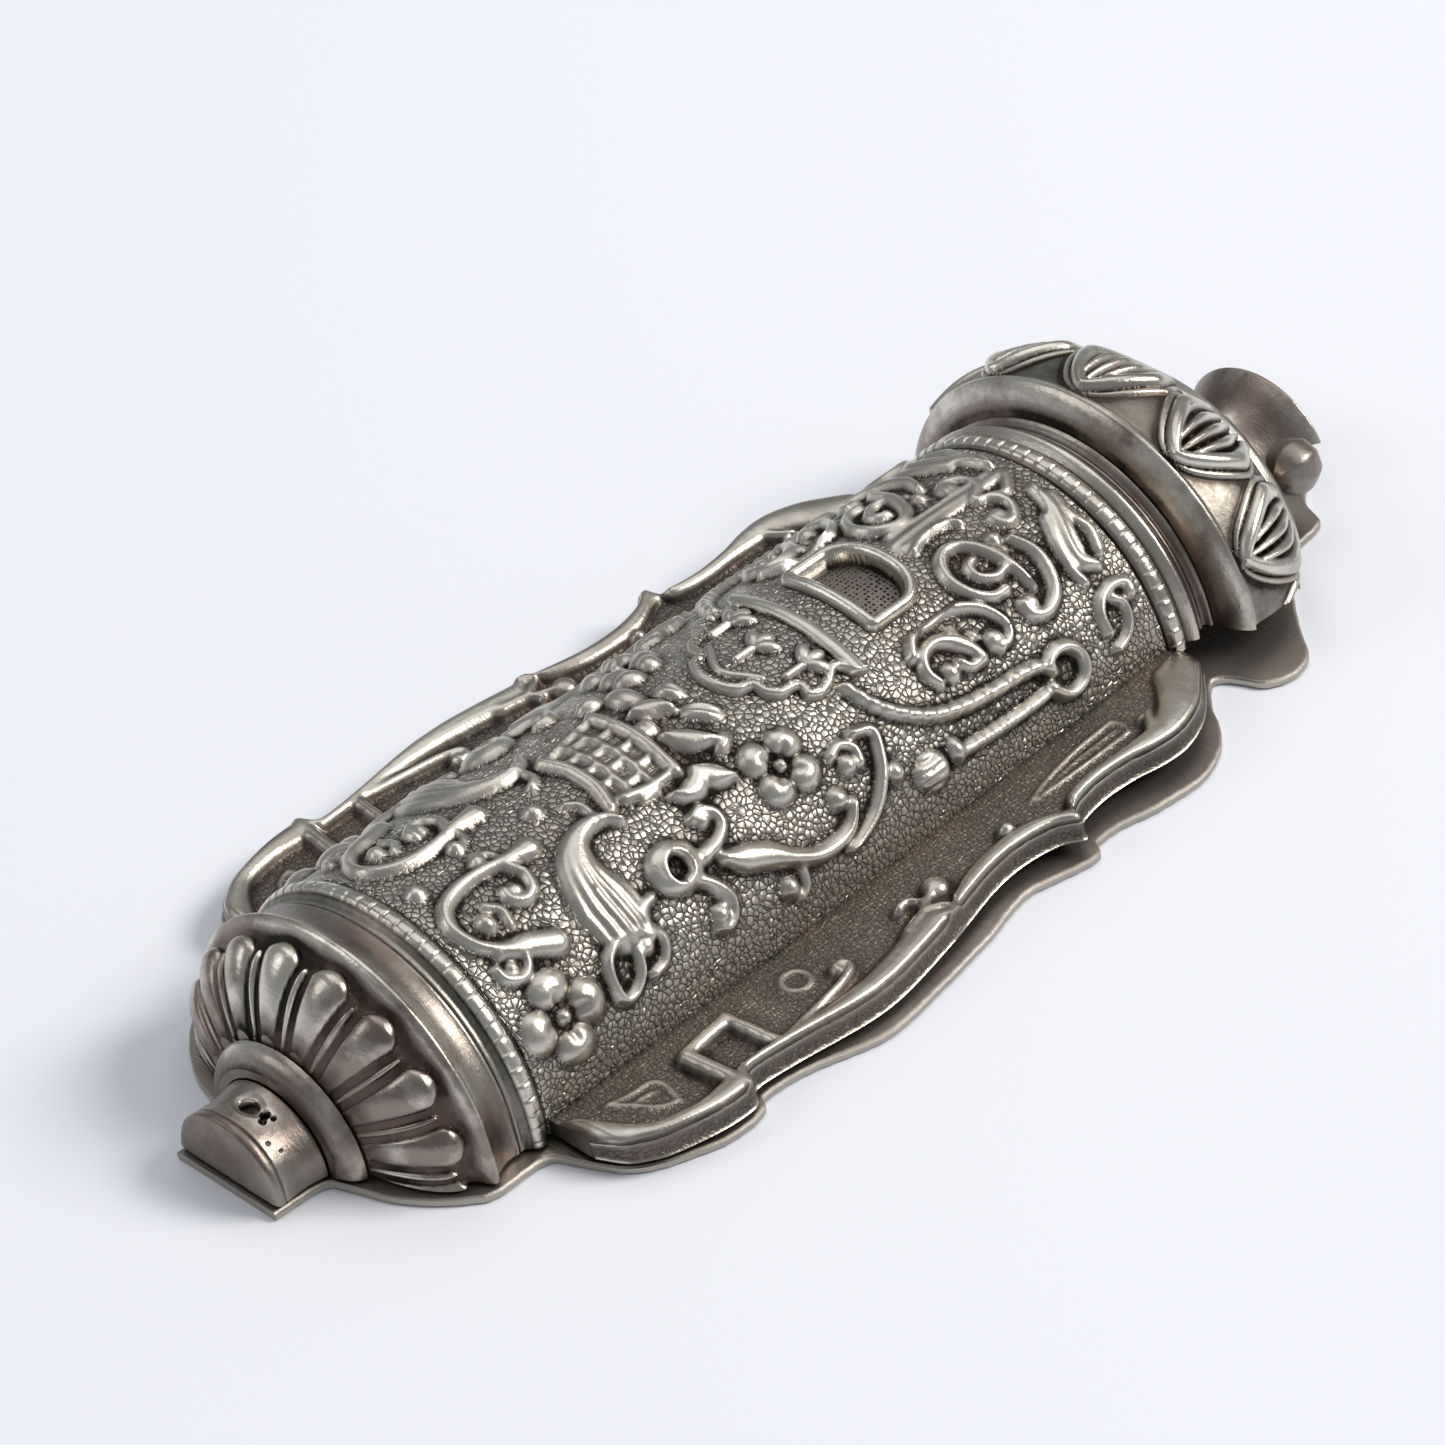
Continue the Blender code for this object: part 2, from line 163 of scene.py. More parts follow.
class Relief:
    """Heights over a surface whose points have the coordinates across and along."""

    def __init__(self, across, along):
        self.across = across
        self.along = along
        self.height = np.zeros_like(across)

    def near(self, low, high, reach):
        return ((self.across > low[0] - reach) & (self.across < high[0] + reach)
                & (self.along > low[1] - reach) & (self.along < high[1] + reach))

    def raise_to(self, chosen, value):
        self.height[chosen] = np.maximum(self.height[chosen], value)

    def path_distance(self, path, reach):
        """Which points are near a path, and each one's distance, place along it (0 to 1) and side."""
        chosen = self.near(path.min(0), path.max(0), reach)
        spots = np.stack([self.across[chosen], self.along[chosen]], 1)
        gap = np.empty(len(spots))
        place = np.empty(len(spots))
        aside = np.empty(len(spots))
        run = np.gradient(path, axis=0)
        run /= np.linalg.norm(run, axis=1)[:, None]
        for start in range(0, len(spots), CHUNK):
            part = spots[start:start + CHUNK]
            squared = ((part[:, None, :] - path[None, :, :]) ** 2).sum(2)
            nearest = squared.argmin(1)
            gap[start:start + CHUNK] = np.sqrt(squared[np.arange(len(part)), nearest])
            place[start:start + CHUNK] = nearest / (len(path) - 1)
            off = part - path[nearest]
            aside[start:start + CHUNK] = run[nearest, 0] * off[:, 1] - run[nearest, 1] * off[:, 0]
        return chosen, gap, place, aside

    def ridge(self, points, width, height, ribs=None, flutes=None, power=0.55):
        """A rounded strap along a curve. width is one number, or several spread along it.

        ribs is the distance between its cross cuts, and flutes the number of its lengthwise flutes.
        """
        path = curve_through(points)
        widths = np.atleast_1d(np.array(width, float))
        chosen, gap, place, aside = self.path_distance(path, widths.max())
        half = np.interp(place, np.linspace(0, 1, len(widths)), widths) * STROKE_SWELL / 2
        share = np.clip(1 - (gap / half) ** 2, 0, 1)
        value = height * share ** power
        if ribs:
            length = np.linalg.norm(np.diff(path, axis=0), axis=1).sum()
            phase = np.abs(((place * length / ribs) % 1) - 0.5)
            value = value - CUT_DEPTH * smoothstep(0.34, 0.48, phase) * (value > 0.05)
        if flutes:
            phase = math.pi * (flutes * aside / half + FLUTE_DRIFT * place)
            value = value * (1 - FLUTE_DEPTH * (0.5 + 0.5 * np.cos(phase)) ** 2)
        self.raise_to(chosen, value)

    def oval_share(self, across, along, wide, tall, turn):
        """Which points are near an oval, 1 in its middle falling to 0 at its edge, and the place up it."""
        spot = np.array([across, along])
        chosen = self.near(spot, spot, max(wide, tall))
        u = self.across[chosen] - across
        v = self.along[chosen] - along
        c, s = math.cos(math.radians(turn)), math.sin(math.radians(turn))
        u, v = (u * c + v * s) / wide, (v * c - u * s) / tall
        return chosen, np.clip(1 - u * u - v * v, 0, 1), v

    def dome(self, across, along, wide, tall, height, turn=0.0, groove=0.0, power=0.6):
        """An oval boss, turned anticlockwise by degrees, with an optional groove along it."""
        chosen, share, v = self.oval_share(across, along, wide, tall, turn)
        value = height * share ** power
        if groove:
            value = value * (1 - groove * np.exp(-(v / 0.22) ** 2))
        self.raise_to(chosen, value)

    def sink(self, across, along, wide, tall, depth, turn=0.0):
        """Presses an oval hollow into what is already raised."""
        chosen, share, _ = self.oval_share(across, along, wide, tall, turn)
        self.height[chosen] -= depth * share ** 0.5

    def oval(self, across, along, wide, tall, width, height, start=0, stop=360):
        """A ridge along an oval arc, angles in degrees from the right."""
        turn = np.radians(np.linspace(start, stop, 17))
        points = [(across + wide * math.cos(a), along + tall * math.sin(a)) for a in turn]
        self.ridge(points, width, height)


def outline_distance(across, along, outline):
    """Signed distance to a closed outline, positive inside."""
    corners = np.array(outline, float)
    inside = np.zeros(across.shape, bool)
    nearest = np.full(across.shape, 1e9)
    for a, b in zip(corners, np.roll(corners, -1, 0)):
        run = b - a
        t = np.clip(((across - a[0]) * run[0] + (along - a[1]) * run[1]) / (run @ run), 0, 1)
        nearest = np.minimum(nearest, np.hypot(across - a[0] - t * run[0], along - a[1] - t * run[1]))
        crosses = (a[1] > along) != (b[1] > along)
        slope = run[0] / run[1] if run[1] else 0.0
        inside ^= crosses & (across < a[0] + slope * (along - a[1]))
    return np.where(inside, nearest, -nearest)


def smoothstep(low, high, value):
    t = np.clip((value - low) / (high - low), 0, 1)
    return t * t * (3 - 2 * t)


# ---------------------------------------------------------------- materials
class Nodes:
    """A material's node tree with short calls to add and join nodes."""

    def __init__(self, name):
        self.material = bpy.data.materials.new(name)
        self.material.use_nodes = True
        self.tree = self.material.node_tree
        self.shader = self.tree.nodes["Principled BSDF"]

    def add(self, kind, inputs=None, **settings):
        node = self.tree.nodes.new(kind)
        for key, value in settings.items():
            setattr(node, key, value)
        for key, value in (inputs or {}).items():
            if isinstance(value, bpy.types.NodeSocket):
                self.tree.links.new(value, node.inputs[key])
            else:
                node.inputs[key].default_value = value
        return node

    def value(self, name):
        return self.add("ShaderNodeAttribute", attribute_name=name).outputs["Fac"]

    def math(self, operation, a, b=0.0):
        return self.add("ShaderNodeMath", {0: a, 1: b}, operation=operation).outputs[0]

    def span(self, value, low, high, to_low=0.0, to_high=1.0):
        inputs = {"Value": value, "From Min": low, "From Max": high, "To Min": to_low, "To Max": to_high}
        return self.add("ShaderNodeMapRange", inputs).outputs["Result"]

    def mix(self, factor, a, b, blend="MIX"):
        node = self.tree.nodes.new("ShaderNodeMix")
        node.data_type = "RGBA"
        node.blend_type = blend
        for key, value in ((0, factor), (6, a), (7, b)):
            if isinstance(value, bpy.types.NodeSocket):
                self.tree.links.new(value, node.inputs[key])
            else:
                node.inputs[key].default_value = value if key == 0 else (*value, 1.0)
        return node.outputs[2]

    def noise(self, scale, detail=4.0, roughness=0.6, stretch=None):
        inputs = {"Scale": scale, "Detail": detail, "Roughness": roughness}
        inputs["Vector"] = self.place(stretch)
        return self.add("ShaderNodeTexNoise", inputs).outputs["Fac"]

    def place(self, stretch=None):
        spot = self.add("ShaderNodeTexCoord").outputs["Object"]
        if stretch is None:
            return spot
        return self.add("ShaderNodeMapping", {"Vector": spot, "Scale": stretch}).outputs["Vector"]

    def join(self, source, target):
        self.tree.links.new(source, self.shader.inputs[target])

    def bump(self, height, strength, distance):
        inputs = {"Height": height, "Strength": strength, "Distance": distance}
        self.join(self.add("ShaderNodeBump", inputs).outputs[0], "Normal")

    def metal(self):
        self.shader.inputs["Metallic"].default_value = 1.0
        return self.material


TARNISH = (0.175, 0.125, 0.105)


def silver(name, dark, middle, bright, patina, rough, pebbles=0.0, pebble_size=0.5, crack=0.6):
    """Oxidised silver: dark in hollows, polished on high points and tarnished in clouds.

    pebbles is the height of its pebbled ground, and crack the darkness of the seams in it.
    """
    n = Nodes(name)
    # cavity is mostly oxide in hollows and polish on high points, but some pieces also write painted shade
    # and painted highlights into it
    cavity = n.value("cavity")
    ground = n.value("ground")
    cloud = n.noise(120.0, 6.0, 0.62)
    fine = n.noise(1500.0, 4.0, 0.7)
    height = n.math("ADD", cavity, n.span(cloud, 0.3, 0.7, -0.08, 0.08))
    height = n.math("ADD", height, n.span(fine, 0.3, 0.7, -0.05, 0.05))
    colour = n.mix(n.span(height, -0.36, -0.06), dark, middle)
    colour = n.mix(n.span(height, 0.0, 0.26), colour, bright)
    colour = n.mix(n.math("MULTIPLY", n.span(cloud, 0.44, 0.58), patina), colour, TARNISH)
    relief = n.math("MULTIPLY", fine, 0.22)
    if pebbles:
        warp = n.add("ShaderNodeTexNoise", {"Scale": 1100.0, "Detail": 1.0, "Vector": n.place()})
        bent = n.add("ShaderNodeVectorMath", {0: warp.outputs["Color"], "Scale": 0.00030}, operation="SCALE")
        spot = n.add("ShaderNodeVectorMath", {0: n.place(), 1: bent.outputs[0]}, operation="ADD").outputs[0]
        cells = {"Vector": spot, "Scale": 1000.0 / pebble_size}
        round_top = n.add("ShaderNodeTexVoronoi", cells, feature="F1")
        seam = n.add("ShaderNodeTexVoronoi", cells, feature="DISTANCE_TO_EDGE")
        swell = n.span(round_top.outputs["Distance"], 0.15, 0.75, 0.55, 0.0)
        line = n.span(seam.outputs["Distance"], 0.01, 0.12, 1.0, 0.0)
        colour = n.mix(n.math("MULTIPLY", n.math("MULTIPLY", line, ground), crack), colour, dark)
        swell = n.math("SUBTRACT", swell, n.math("MULTIPLY", line, 0.8))
        relief = n.math("ADD", relief, n.math("MULTIPLY", n.math("MULTIPLY", swell, ground), pebbles))
    n.join(colour, "Base Color")
    wear = n.math("ADD", height, n.math("MULTIPLY", fine, 0.4))
    n.join(n.span(wear, -0.2, 0.6, rough[1], rough[0]), "Roughness")
    scratch = n.noise(700.0, 2.0, 0.5, (1.0, 9.0, 3.0))
    n.bump(n.math("ADD", relief, n.math("MULTIPLY", scratch, 0.10)), 1.0, 0.00016)
    return n.metal()


def sheet_metal():
    """The back sheet: dull, brownish, with long scratches and stains."""
    n = Nodes("back_sheet_silver")
    cloud = n.noise(70.0, 6.0, 0.65)
    scratch = n.noise(420.0, 3.0, 0.6, (1.0, 14.0, 1.0))
    colour = n.mix(n.span(cloud, 0.3, 0.7), (0.20, 0.17, 0.15), (0.40, 0.36, 0.32))
    colour = n.mix(n.span(scratch, 0.62, 0.74, 0.0, 0.5), colour, (0.55, 0.52, 0.48))
    edge = n.value("cavity")
    colour = n.mix(n.span(edge, 0.1, 0.35, 0.0, 0.7), colour, (0.50, 0.47, 0.42))
    # near black where cavity is low: painted shade for the dark inside the nail holes, which are only pits
    # here
    colour = n.mix(n.span(edge, 0.0, -0.4), colour, (0.02, 0.018, 0.016))
    n.join(colour, "Base Color")
    n.join(n.span(cloud, 0.3, 0.7, 0.55, 0.38), "Roughness")
    n.bump(n.math("ADD", scratch, n.math("MULTIPLY", cloud, 2.0)), 0.5, 0.0001)
    return n.metal()


def parchment():
    """Cream vellum with soft fibres and browned patches."""
    n = Nodes("vellum")
    fibre = n.noise(1500.0, 5.0, 0.7, (1.0, 0.25, 1.0))
    cloud = n.noise(90.0, 4.0)
    colour = n.mix(n.span(cloud, 0.3, 0.7), (0.55, 0.42, 0.25), (0.76, 0.66, 0.47))
    colour = n.mix(n.span(fibre, 0.45, 0.65, 0.0, 0.35), colour, (0.44, 0.33, 0.2))
    n.join(colour, "Base Color")
    n.join(n.span(fibre, 0.3, 0.7, 0.75, 0.92), "Roughness")
    n.bump(fibre, 0.5, 0.0001)
    return n.material


DARK = (0.030, 0.026, 0.022)
MIDDLE = (0.46, 0.435, 0.385)
BRIGHT = (0.62, 0.59, 0.525)
SILVER_GROUND = silver("silver_pebbled", DARK, MIDDLE, BRIGHT, 0.25, (0.32, 0.46), pebbles=0.8)
# painted shade: the wings get a darker copy of the silver, because their level fields face up, away from the
# key light
SILVER_FIELD_SHADED = silver("silver_wing_painted_shade", DARK, (0.15, 0.136, 0.115), (0.55, 0.525, 0.46), 0.45, (0.30, 0.52),
                      pebbles=0.22, pebble_size=0.42, crack=0.3)
SILVER_BRIGHT = silver("silver_polished", DARK, (0.37, 0.35, 0.30), (0.68, 0.65, 0.57), 0.35, (0.26, 0.45))
SILVER_WORN = silver("silver_tarnished", DARK, (0.29, 0.265, 0.235), (0.66, 0.62, 0.545), 0.8, (0.28, 0.46))
SHEET_METAL = sheet_metal()
VELLUM = parchment()


# ---------------------------------------------------------------- half-round pieces
def low_angle(radius, y, inset=0.0):
    """Angle at which a half-round section meets the front's lower edge."""
    rise = LIFT_PER_MM * np.maximum(0.0, y)
    return np.arcsin(np.clip(rise / (FLATTEN * radius - inset), 0, 0.9))


def section_point(radius, y, angle, offset):
    x = (radius + offset) * np.cos(angle)
    z = AXIS_Z + (FLATTEN * radius + offset) * np.sin(angle)
    return np.stack([x, y, z], -1)


def rounded(y, low, high, reach=0.25):
    """How far a section is drawn in near its two ends, so that its edges are round."""
    inside = np.minimum(np.clip(y - low, 0, reach), np.clip(high - y, 0, reach))
    return reach - np.sqrt(reach ** 2 - (reach - inside) ** 2)


def cavity_of(height, spacing, gain=1.0):
    """How far each point stands over its surroundings, scaled to lie between -1 and 1."""
    near = max(1, round(0.35 / spacing))
    wide = max(2, round(0.95 / spacing))
    return np.clip(gain * (1.3 * (height - blur(height, near)) + 0.7 * (height - blur(height, wide))), -1, 1)


GROW = (0.13, 0.13)         # how far a piece reaches past its two ends, to leave a hairline between pieces


def half_round(name, node, radius_at, material, spacing=0.17, relief=None, edge=0.25, pebbled=False,
               draw=None, gain=1.0, grow=GROW, shade=None):
    """A half-round shell in a node's place: a fine outer skin, its edges and a plain lining.

    shade(y, height) darkens (below 0) or brightens the silver there.
    """
    low, high = stations(node)
    low, high = low - grow[0], high + grow[1]
    widest = float(np.max(radius_at(np.linspace(low, high, 9))))
    rows = max(8, int((high - low) / spacing) + 1)
    cols = int(math.pi * widest * 0.97 / spacing)
    y = np.repeat(np.linspace(low, high, rows)[:, None], cols, 1)
    radius = radius_at(y)
    start = low_angle(radius, y)
    angle = start + (math.pi - 2 * start) * np.linspace(0, 1, cols)[None, :]
    height = -rounded(y, low, high, edge)
    if relief is not None:
        height = height + relief(y, angle)
    drawn = np.zeros_like(y)
    if draw is not None:
        drawing = Relief((math.pi / 2 - angle) * BARREL_R, y)
        draw(drawing)
        drawn = blur(drawing.height, 1, 1)
        height = height + drawn
    bend = radius - blur(radius, max(2, round(1.2 / spacing)))
    tone = shade(y, height) if shade else 0.0
    extra = {"cavity": np.clip(cavity_of(height, spacing, gain) + 0.6 * bend + tone, -1, 1)}
    if pebbled:
        extra["ground"] = 1 - smoothstep(0.03, 0.14, np.abs(drawn))
    outer = section_point(radius, y, angle, height)
    inner_start = low_angle(radius, y, WALL)
    inner_angle = inner_start + (math.pi - 2 * inner_start) * np.linspace(0, 1, cols)[None, :]
    inner = section_point(radius, y, inner_angle, -WALL)
    grids = [(outer, False, extra)]
    for side, flip in (((0,), True), ((-1,), False), ((slice(None), 0), False), ((slice(None), -1), True)):
        grids.append((np.stack([outer[side], inner[side]]), flip, {}))
    row_step = max(1, rows // 12)
    col_step = max(1, cols // 48)
    row_pick = np.unique(np.append(np.arange(0, rows, row_step), rows - 1))
    col_pick = np.unique(np.append(np.arange(0, cols, col_step), cols - 1))
    lining = inner[np.ix_(row_pick, col_pick)]
    grids.append((lining, True, {"cavity": np.full(lining.shape[:2], -0.3)}))
    add_piece(name, grids, "front", material, (node,))


def lines(profile):
    """A function that reads half width off (station, half width) points."""
    ys, rs = zip(*profile)
    return lambda y: np.interp(y, ys, rs)


def soft_lines(profile):
    """The same, along a smooth curve through the points."""
    path = curve_through(profile, 0.05)
    return lambda y: np.interp(y, path[:, 0], path[:, 1])


def from_low(low, steps, *ends):
    """A smooth profile through (offset from low, half width) steps and then (station, half width) ends."""
    return soft_lines([(low + offset, radius) for offset, radius in steps] + list(ends))


def crest_angle(angle):
    """Degrees from the crest, positive to the right."""
    return 90 - np.degrees(angle)


# ---------------------------------------------------------------- the barrel's ornament
MIRROR_S = 0.7              # s of the line that the two sides mirror in


def flower(r, s, y, size, turn):
    """Four petals with a hollow in each, round a small boss."""
    petals = [math.radians(turn + 90 * petal) for petal in range(4)]
    for a in petals:
        r.dome(s + size * math.cos(a), y + size * math.sin(a), size * 0.64, size * 0.74, 0.85,
               math.degrees(a))
    hollow = size * 0.62
    for a in petals:
        r.sink(s + hollow * math.cos(a), y + hollow * math.sin(a), size * 0.30, size * 0.16, 0.32,
               math.degrees(a))
    r.sink(s, y, size * 0.46, size * 0.46, 0.45)
    r.dome(s, y, size * 0.30, size * 0.30, 0.70)


def scrollwork(r):
    """The ornament right of the middle. It is repeated, mirrored, on the left."""
    # hooked curl beside the staff
    r.ridge([(0.9, 60.3), (1.3, 61.3), (2.4, 61.9), (3.5, 61.5), (4.1, 60.6), (3.7, 59.8), (2.9, 59.7)],
            0.75, 0.6)
    r.dome(3.1, 60.3, 0.85, 0.75, 0.6)
    # acanthus under the rings
    r.ridge([(2.8, 64.3), (5.0, 63.9), (7.4, 62.8), (9.4, 62.4), (10.8, 63.5)], [0.7, 1.2, 1.9, 2.0, 0.5],
            0.8, flutes=3)
    r.ridge([(5.4, 62.8), (7.5, 61.7), (9.6, 61.3), (11.2, 61.6)], 0.65, 0.55)
    r.ridge([(4.2, 64.9), (6.2, 64.6), (8.0, 65.0), (9.8, 64.4)], 0.8, 0.45)
    # leaf loop with its ball
    r.ridge([(13.7, 64.7), (12.9, 64.6), (12.5, 63.5), (12.8, 62.1), (13.9, 61.2), (15.4, 61.1)], 0.8, 0.7)
    r.ridge([(13.3, 62.8), (14.2, 63.5), (15.6, 63.2), (16.5, 62.3), (16.9, 61.2)], 0.75, 0.7)
    r.dome(13.6, 64.5, 0.75, 0.6, 0.75)
    # paisley
    r.ridge([(5.2, 59.2), (7.0, 59.9), (9.0, 59.6), (10.6, 58.7), (11.3, 57.2), (10.8, 56.0), (9.8, 55.9)],
            [0.7, 1.0, 1.0, 0.8], 0.75)
    r.dome(10.1, 56.5, 0.85, 0.8, 0.75)
    r.ridge([(9.3, 57.7), (7.2, 57.5), (5.2, 57.0), (3.6, 56.0), (3.0, 54.6), (3.8, 53.2), (5.4, 52.6),
             (7.0, 53.1), (8.1, 54.3), (8.2, 55.7)], [0.5, 1.1, 0.9, 0.9, 0.9, 0.7], 0.75)
    r.ridge([(6.8, 57.0), (7.0, 55.8), (6.2, 54.6), (5.2, 54.7), (4.9, 55.4)], 0.75, 0.65)
    r.dome(4.4, 58.2, 0.7, 0.7, 0.6)
    r.dome(5.5, 58.1, 0.55, 0.4, 0.45)
    # two commas
    r.ridge([(11.6, 52.0), (11.2, 53.2), (10.0, 53.6), (8.2, 52.7), (7.0, 50.8), (6.6, 48.6), (7.1, 46.6),
             (8.4, 45.3)], [0.5, 0.75, 0.9, 0.95, 0.7], 0.8)
    r.dome(10.8, 52.0, 0.95, 0.95, 0.8)
    r.dome(9.6, 50.8, 0.6, 0.4, 0.45, 30)
    r.dome(8.5, 49.5, 0.55, 0.55, 0.5)
    r.ridge([(11.3, 50.2), (10.2, 49.8), (9.1, 49.0), (8.4, 47.7), (8.7, 46.2), (9.9, 45.5), (11.1, 45.9)],
            [0.9, 1.3, 0.9, 0.9, 0.7], 0.8)
    r.ridge([(11.4, 49.9), (11.3, 48.9), (10.6, 48.4)], 0.7, 0.7)
    r.dome(10.9, 47.3, 0.85, 0.75, 0.7)
    # loop, two twisted cords, bead and tassel
    r.oval(15.8, 56.1, 1.75, 1.85, 0.95, 0.85, -75, 228)
    r.ridge([(15.3, 55.1), (14.4, 54.2), (14.0, 52.5), (13.8, 49.5), (13.4, 46.5), (12.6, 43.8),
             (11.1, 41.6), (9.2, 40.1), (7.0, 39.3)], 0.95, 0.8, ribs=1.15)
    r.ridge([(16.4, 53.8), (16.5, 51.0), (16.4, 47.5), (16.2, 45.1)], 0.95, 0.8, ribs=0.85)
    r.dome(15.9, 44.2, 1.1, 0.75, 0.9)
    r.dome(16.1, 41.5, 1.55, 1.65, 1.15)
    for flute in (-0.95, -0.32, 0.32, 0.95):
        r.sink(16.1 + flute, 41.3, 0.24, 1.35 - 0.3 * abs(flute), 0.65)
    r.dome(14.5, 38.6, 0.95, 0.75, 0.8)
    # long scroll under the cord
    r.ridge([(10.3, 37.2), (10.9, 38.7), (12.5, 38.3), (14.3, 37.3), (16.0, 35.6), (17.0, 33.6),
             (17.3, 32.3)], [0.7, 0.8, 0.9, 0.8, 0.6], 0.8)
    r.ridge([(10.8, 34.6), (10.4, 35.8), (11.2, 36.7), (12.4, 36.5)], 0.65, 0.6)
    r.dome(12.0, 35.5, 0.85, 0.8, 0.7)
    r.dome(13.6, 33.2, 0.95, 0.9, 0.85)
    r.ridge([(14.4, 34.2), (15.8, 33.0), (16.3, 31.3), (16.1, 29.4), (15.2, 27.6), (14.0, 25.8),
             (13.0, 23.8), (12.2, 22.6)], [0.7, 1.0, 1.1, 1.1, 1.2, 1.7, 1.9, 0.9], 0.85)
    r.ridge([(15.0, 27.3), (16.4, 27.9), (17.6, 27.7), (18.2, 26.9)], 0.65, 0.55)
    r.dome(17.0, 26.3, 0.95, 0.85, 0.85)
    flower(r, 9.2, 30.9, 1.95, 43)
    # ring-headed scroll
    r.dome(10.8, 18.9, 2.1, 2.35, 1.0, -12, power=0.45)
    r.sink(10.9, 19.0, 1.05, 0.85, 1.5, -20)
    r.oval(10.9, 19.0, 1.25, 1.05, 0.35, 1.1)
    r.ridge([(12.0, 19.4), (12.8, 20.3), (13.6, 21.0), (14.7, 21.5), (15.9, 21.2), (16.6, 20.3),
             (16.2, 19.5)], [1.0, 0.8, 0.7, 0.7], 0.7)
    r.ridge([(12.4, 20.0), (13.6, 20.6), (15.0, 20.9)], 0.6, 0.5)
    r.dome(15.5, 20.1, 0.85, 0.8, 0.8)
    r.ridge([(11.3, 21.3), (11.0, 22.9), (10.2, 24.0), (9.2, 24.1), (8.4, 23.3), (8.7, 22.3)],
            [1.2, 0.8, 0.8, 0.6], 0.75)
    r.dome(9.1, 23.0, 0.75, 0.75, 0.65)
    # curl, ball and leaf loop
    r.ridge([(11.5, 16.0), (11.8, 14.8), (13.0, 14.4)], [0.6, 0.9, 0.6], 0.65)
    r.ridge([(13.0, 14.4), (14.4, 15.1), (15.8, 14.4), (16.2, 13.1)], 0.65, 0.55)
    r.dome(14.1, 13.5, 0.8, 0.75, 0.75)
    r.ridge([(13.7, 14.3), (12.8, 13.3), (12.6, 11.6), (13.4, 10.3), (14.8, 9.8), (16.3, 9.9), (16.5, 10.9),
             (15.6, 12.1), (14.1, 12.7)], 0.75, 0.75)
    flower(r, 14.8, 5.1, 2.3, 0)
    # trumpet leaf
    r.ridge([(5.8, 18.1), (4.9, 17.2), (4.7, 15.6), (5.4, 14.0), (7.0, 12.9), (9.2, 12.6), (11.6, 12.9)],
            [0.7, 1.1, 1.5, 2.4, 3.3, 4.3, 4.2], 0.95, flutes=6, power=0.7)
    r.ridge([(2.3, 16.0), (2.9, 16.8), (4.0, 16.9), (4.9, 16.6)], 0.65, 0.55)
    # C-scroll at the lower ring
    r.ridge([(3.4, 11.4), (3.3, 9.5), (2.9, 7.5), (2.9, 5.2), (3.6, 3.3), (5.2, 2.3), (7.2, 2.8),
             (8.6, 4.3), (9.3, 6.0), (10.2, 7.8)], [1.6, 0.9, 0.9, 1.0, 1.0, 0.9, 0.9, 1.6, 1.7], 0.75)
    r.ridge([(3.6, 9.0), (4.8, 9.6), (6.1, 9.2), (6.5, 8.2), (5.9, 7.3), (5.1, 7.4)], 0.75, 0.65)
    r.dome(5.5, 8.1, 0.65, 0.6, 0.6)
    r.ridge([(5.2, 5.4), (6.1, 6.2), (7.4, 5.9)], 0.6, 0.5)
    r.dome(6.3, 4.6, 0.9, 0.75, 0.7)
    r.ridge([(8.7, 3.5), (9.0, 4.7), (10.1, 5.1), (10.9, 4.1), (10.3, 2.9), (9.4, 2.7)], 0.65, 0.6)
    r.dome(9.9, 3.8, 0.6, 0.55, 0.5)
    r.ridge([(1.2, 8.0), (1.9, 9.0), (2.9, 9.3)], 0.5, 0.45)


def basket(r):
    """The woven basket with its fruit and leaves."""
    for row, (low, high) in enumerate(((22.3, 24.0), (20.6, 22.1), (19.4, 20.3))):
        reach = 4.0 - 0.3 * row
        for stake in range(5):
            s = 0.9 + (stake - 2 + 0.5 * (row % 2)) * reach * 0.5
            r.ridge([(s, low), (s, high)], 0.5, 0.45)
    body = outline_distance(r.across, r.along, [(-3.1, 24.2), (5.1, 24.1), (4.7, 19.0), (-2.3, 19.0)])
    r.height = np.where(body > 0, np.maximum(r.height, 0.1 * smoothstep(0.0, 0.2, body)), r.height)
    r.ridge([(-3.0, 22.2), (0.5, 22.5), (4.9, 22.2)], 0.5, 0.5)
    r.ridge([(-2.7, 20.4), (0.6, 20.7), (4.8, 20.4)], 0.5, 0.5)
    r.ridge([(-3.4, 24.3), (0.6, 24.6), (5.2, 24.2)], 0.95, 0.8)
    r.ridge([(-3.3, 24.0), (-2.9, 21.5), (-2.3, 19.3)], 0.55, 0.55)
    r.ridge([(5.0, 24.0), (5.0, 21.8), (4.6, 19.6)], 0.75, 0.65)
    r.ridge([(-2.2, 18.3), (0.0, 18.9), (2.5, 18.9), (4.6, 18.3)], 0.95, 0.75)
    fruit = [(-5.0, 29.6, 1.35, 1.0, 70, 0.0), (-3.2, 27.4, 1.7, 1.2, 10, 0.0),
             (-1.0, 29.8, 1.3, 0.8, 25, 0.5), (2.4, 29.7, 1.7, 0.9, 38, 0.55),
             (0.8, 25.7, 1.1, 0.8, 0, 0.4), (-5.3, 31.9, 1.0, 1.0, 0, 0.0), (5.4, 28.7, 1.2, 0.6, -60, 0.3),
             (-5.0, 25.6, 1.2, 0.8, 80, 0.0)]
    for s, y, wide, tall, turn, groove in fruit:
        r.dome(s, y, wide, tall, 0.85, turn, groove)
    leaves_round_it = ([(2.2, 25.6), (3.3, 26.5), (4.4, 27.7), (5.0, 28.7)],
                       [(-1.0, 25.8), (-0.4, 27.4), (0.9, 28.6)],
                       [(5.6, 25.1), (6.8, 25.9), (8.1, 27.5)],
                       [(5.6, 25.2), (6.7, 24.7), (7.0, 23.5), (6.4, 22.3)])
    for leaf in leaves_round_it:
        r.ridge(leaf, [0.4, 1.7, 1.9, 1.3, 0.3], 0.95, power=0.7)


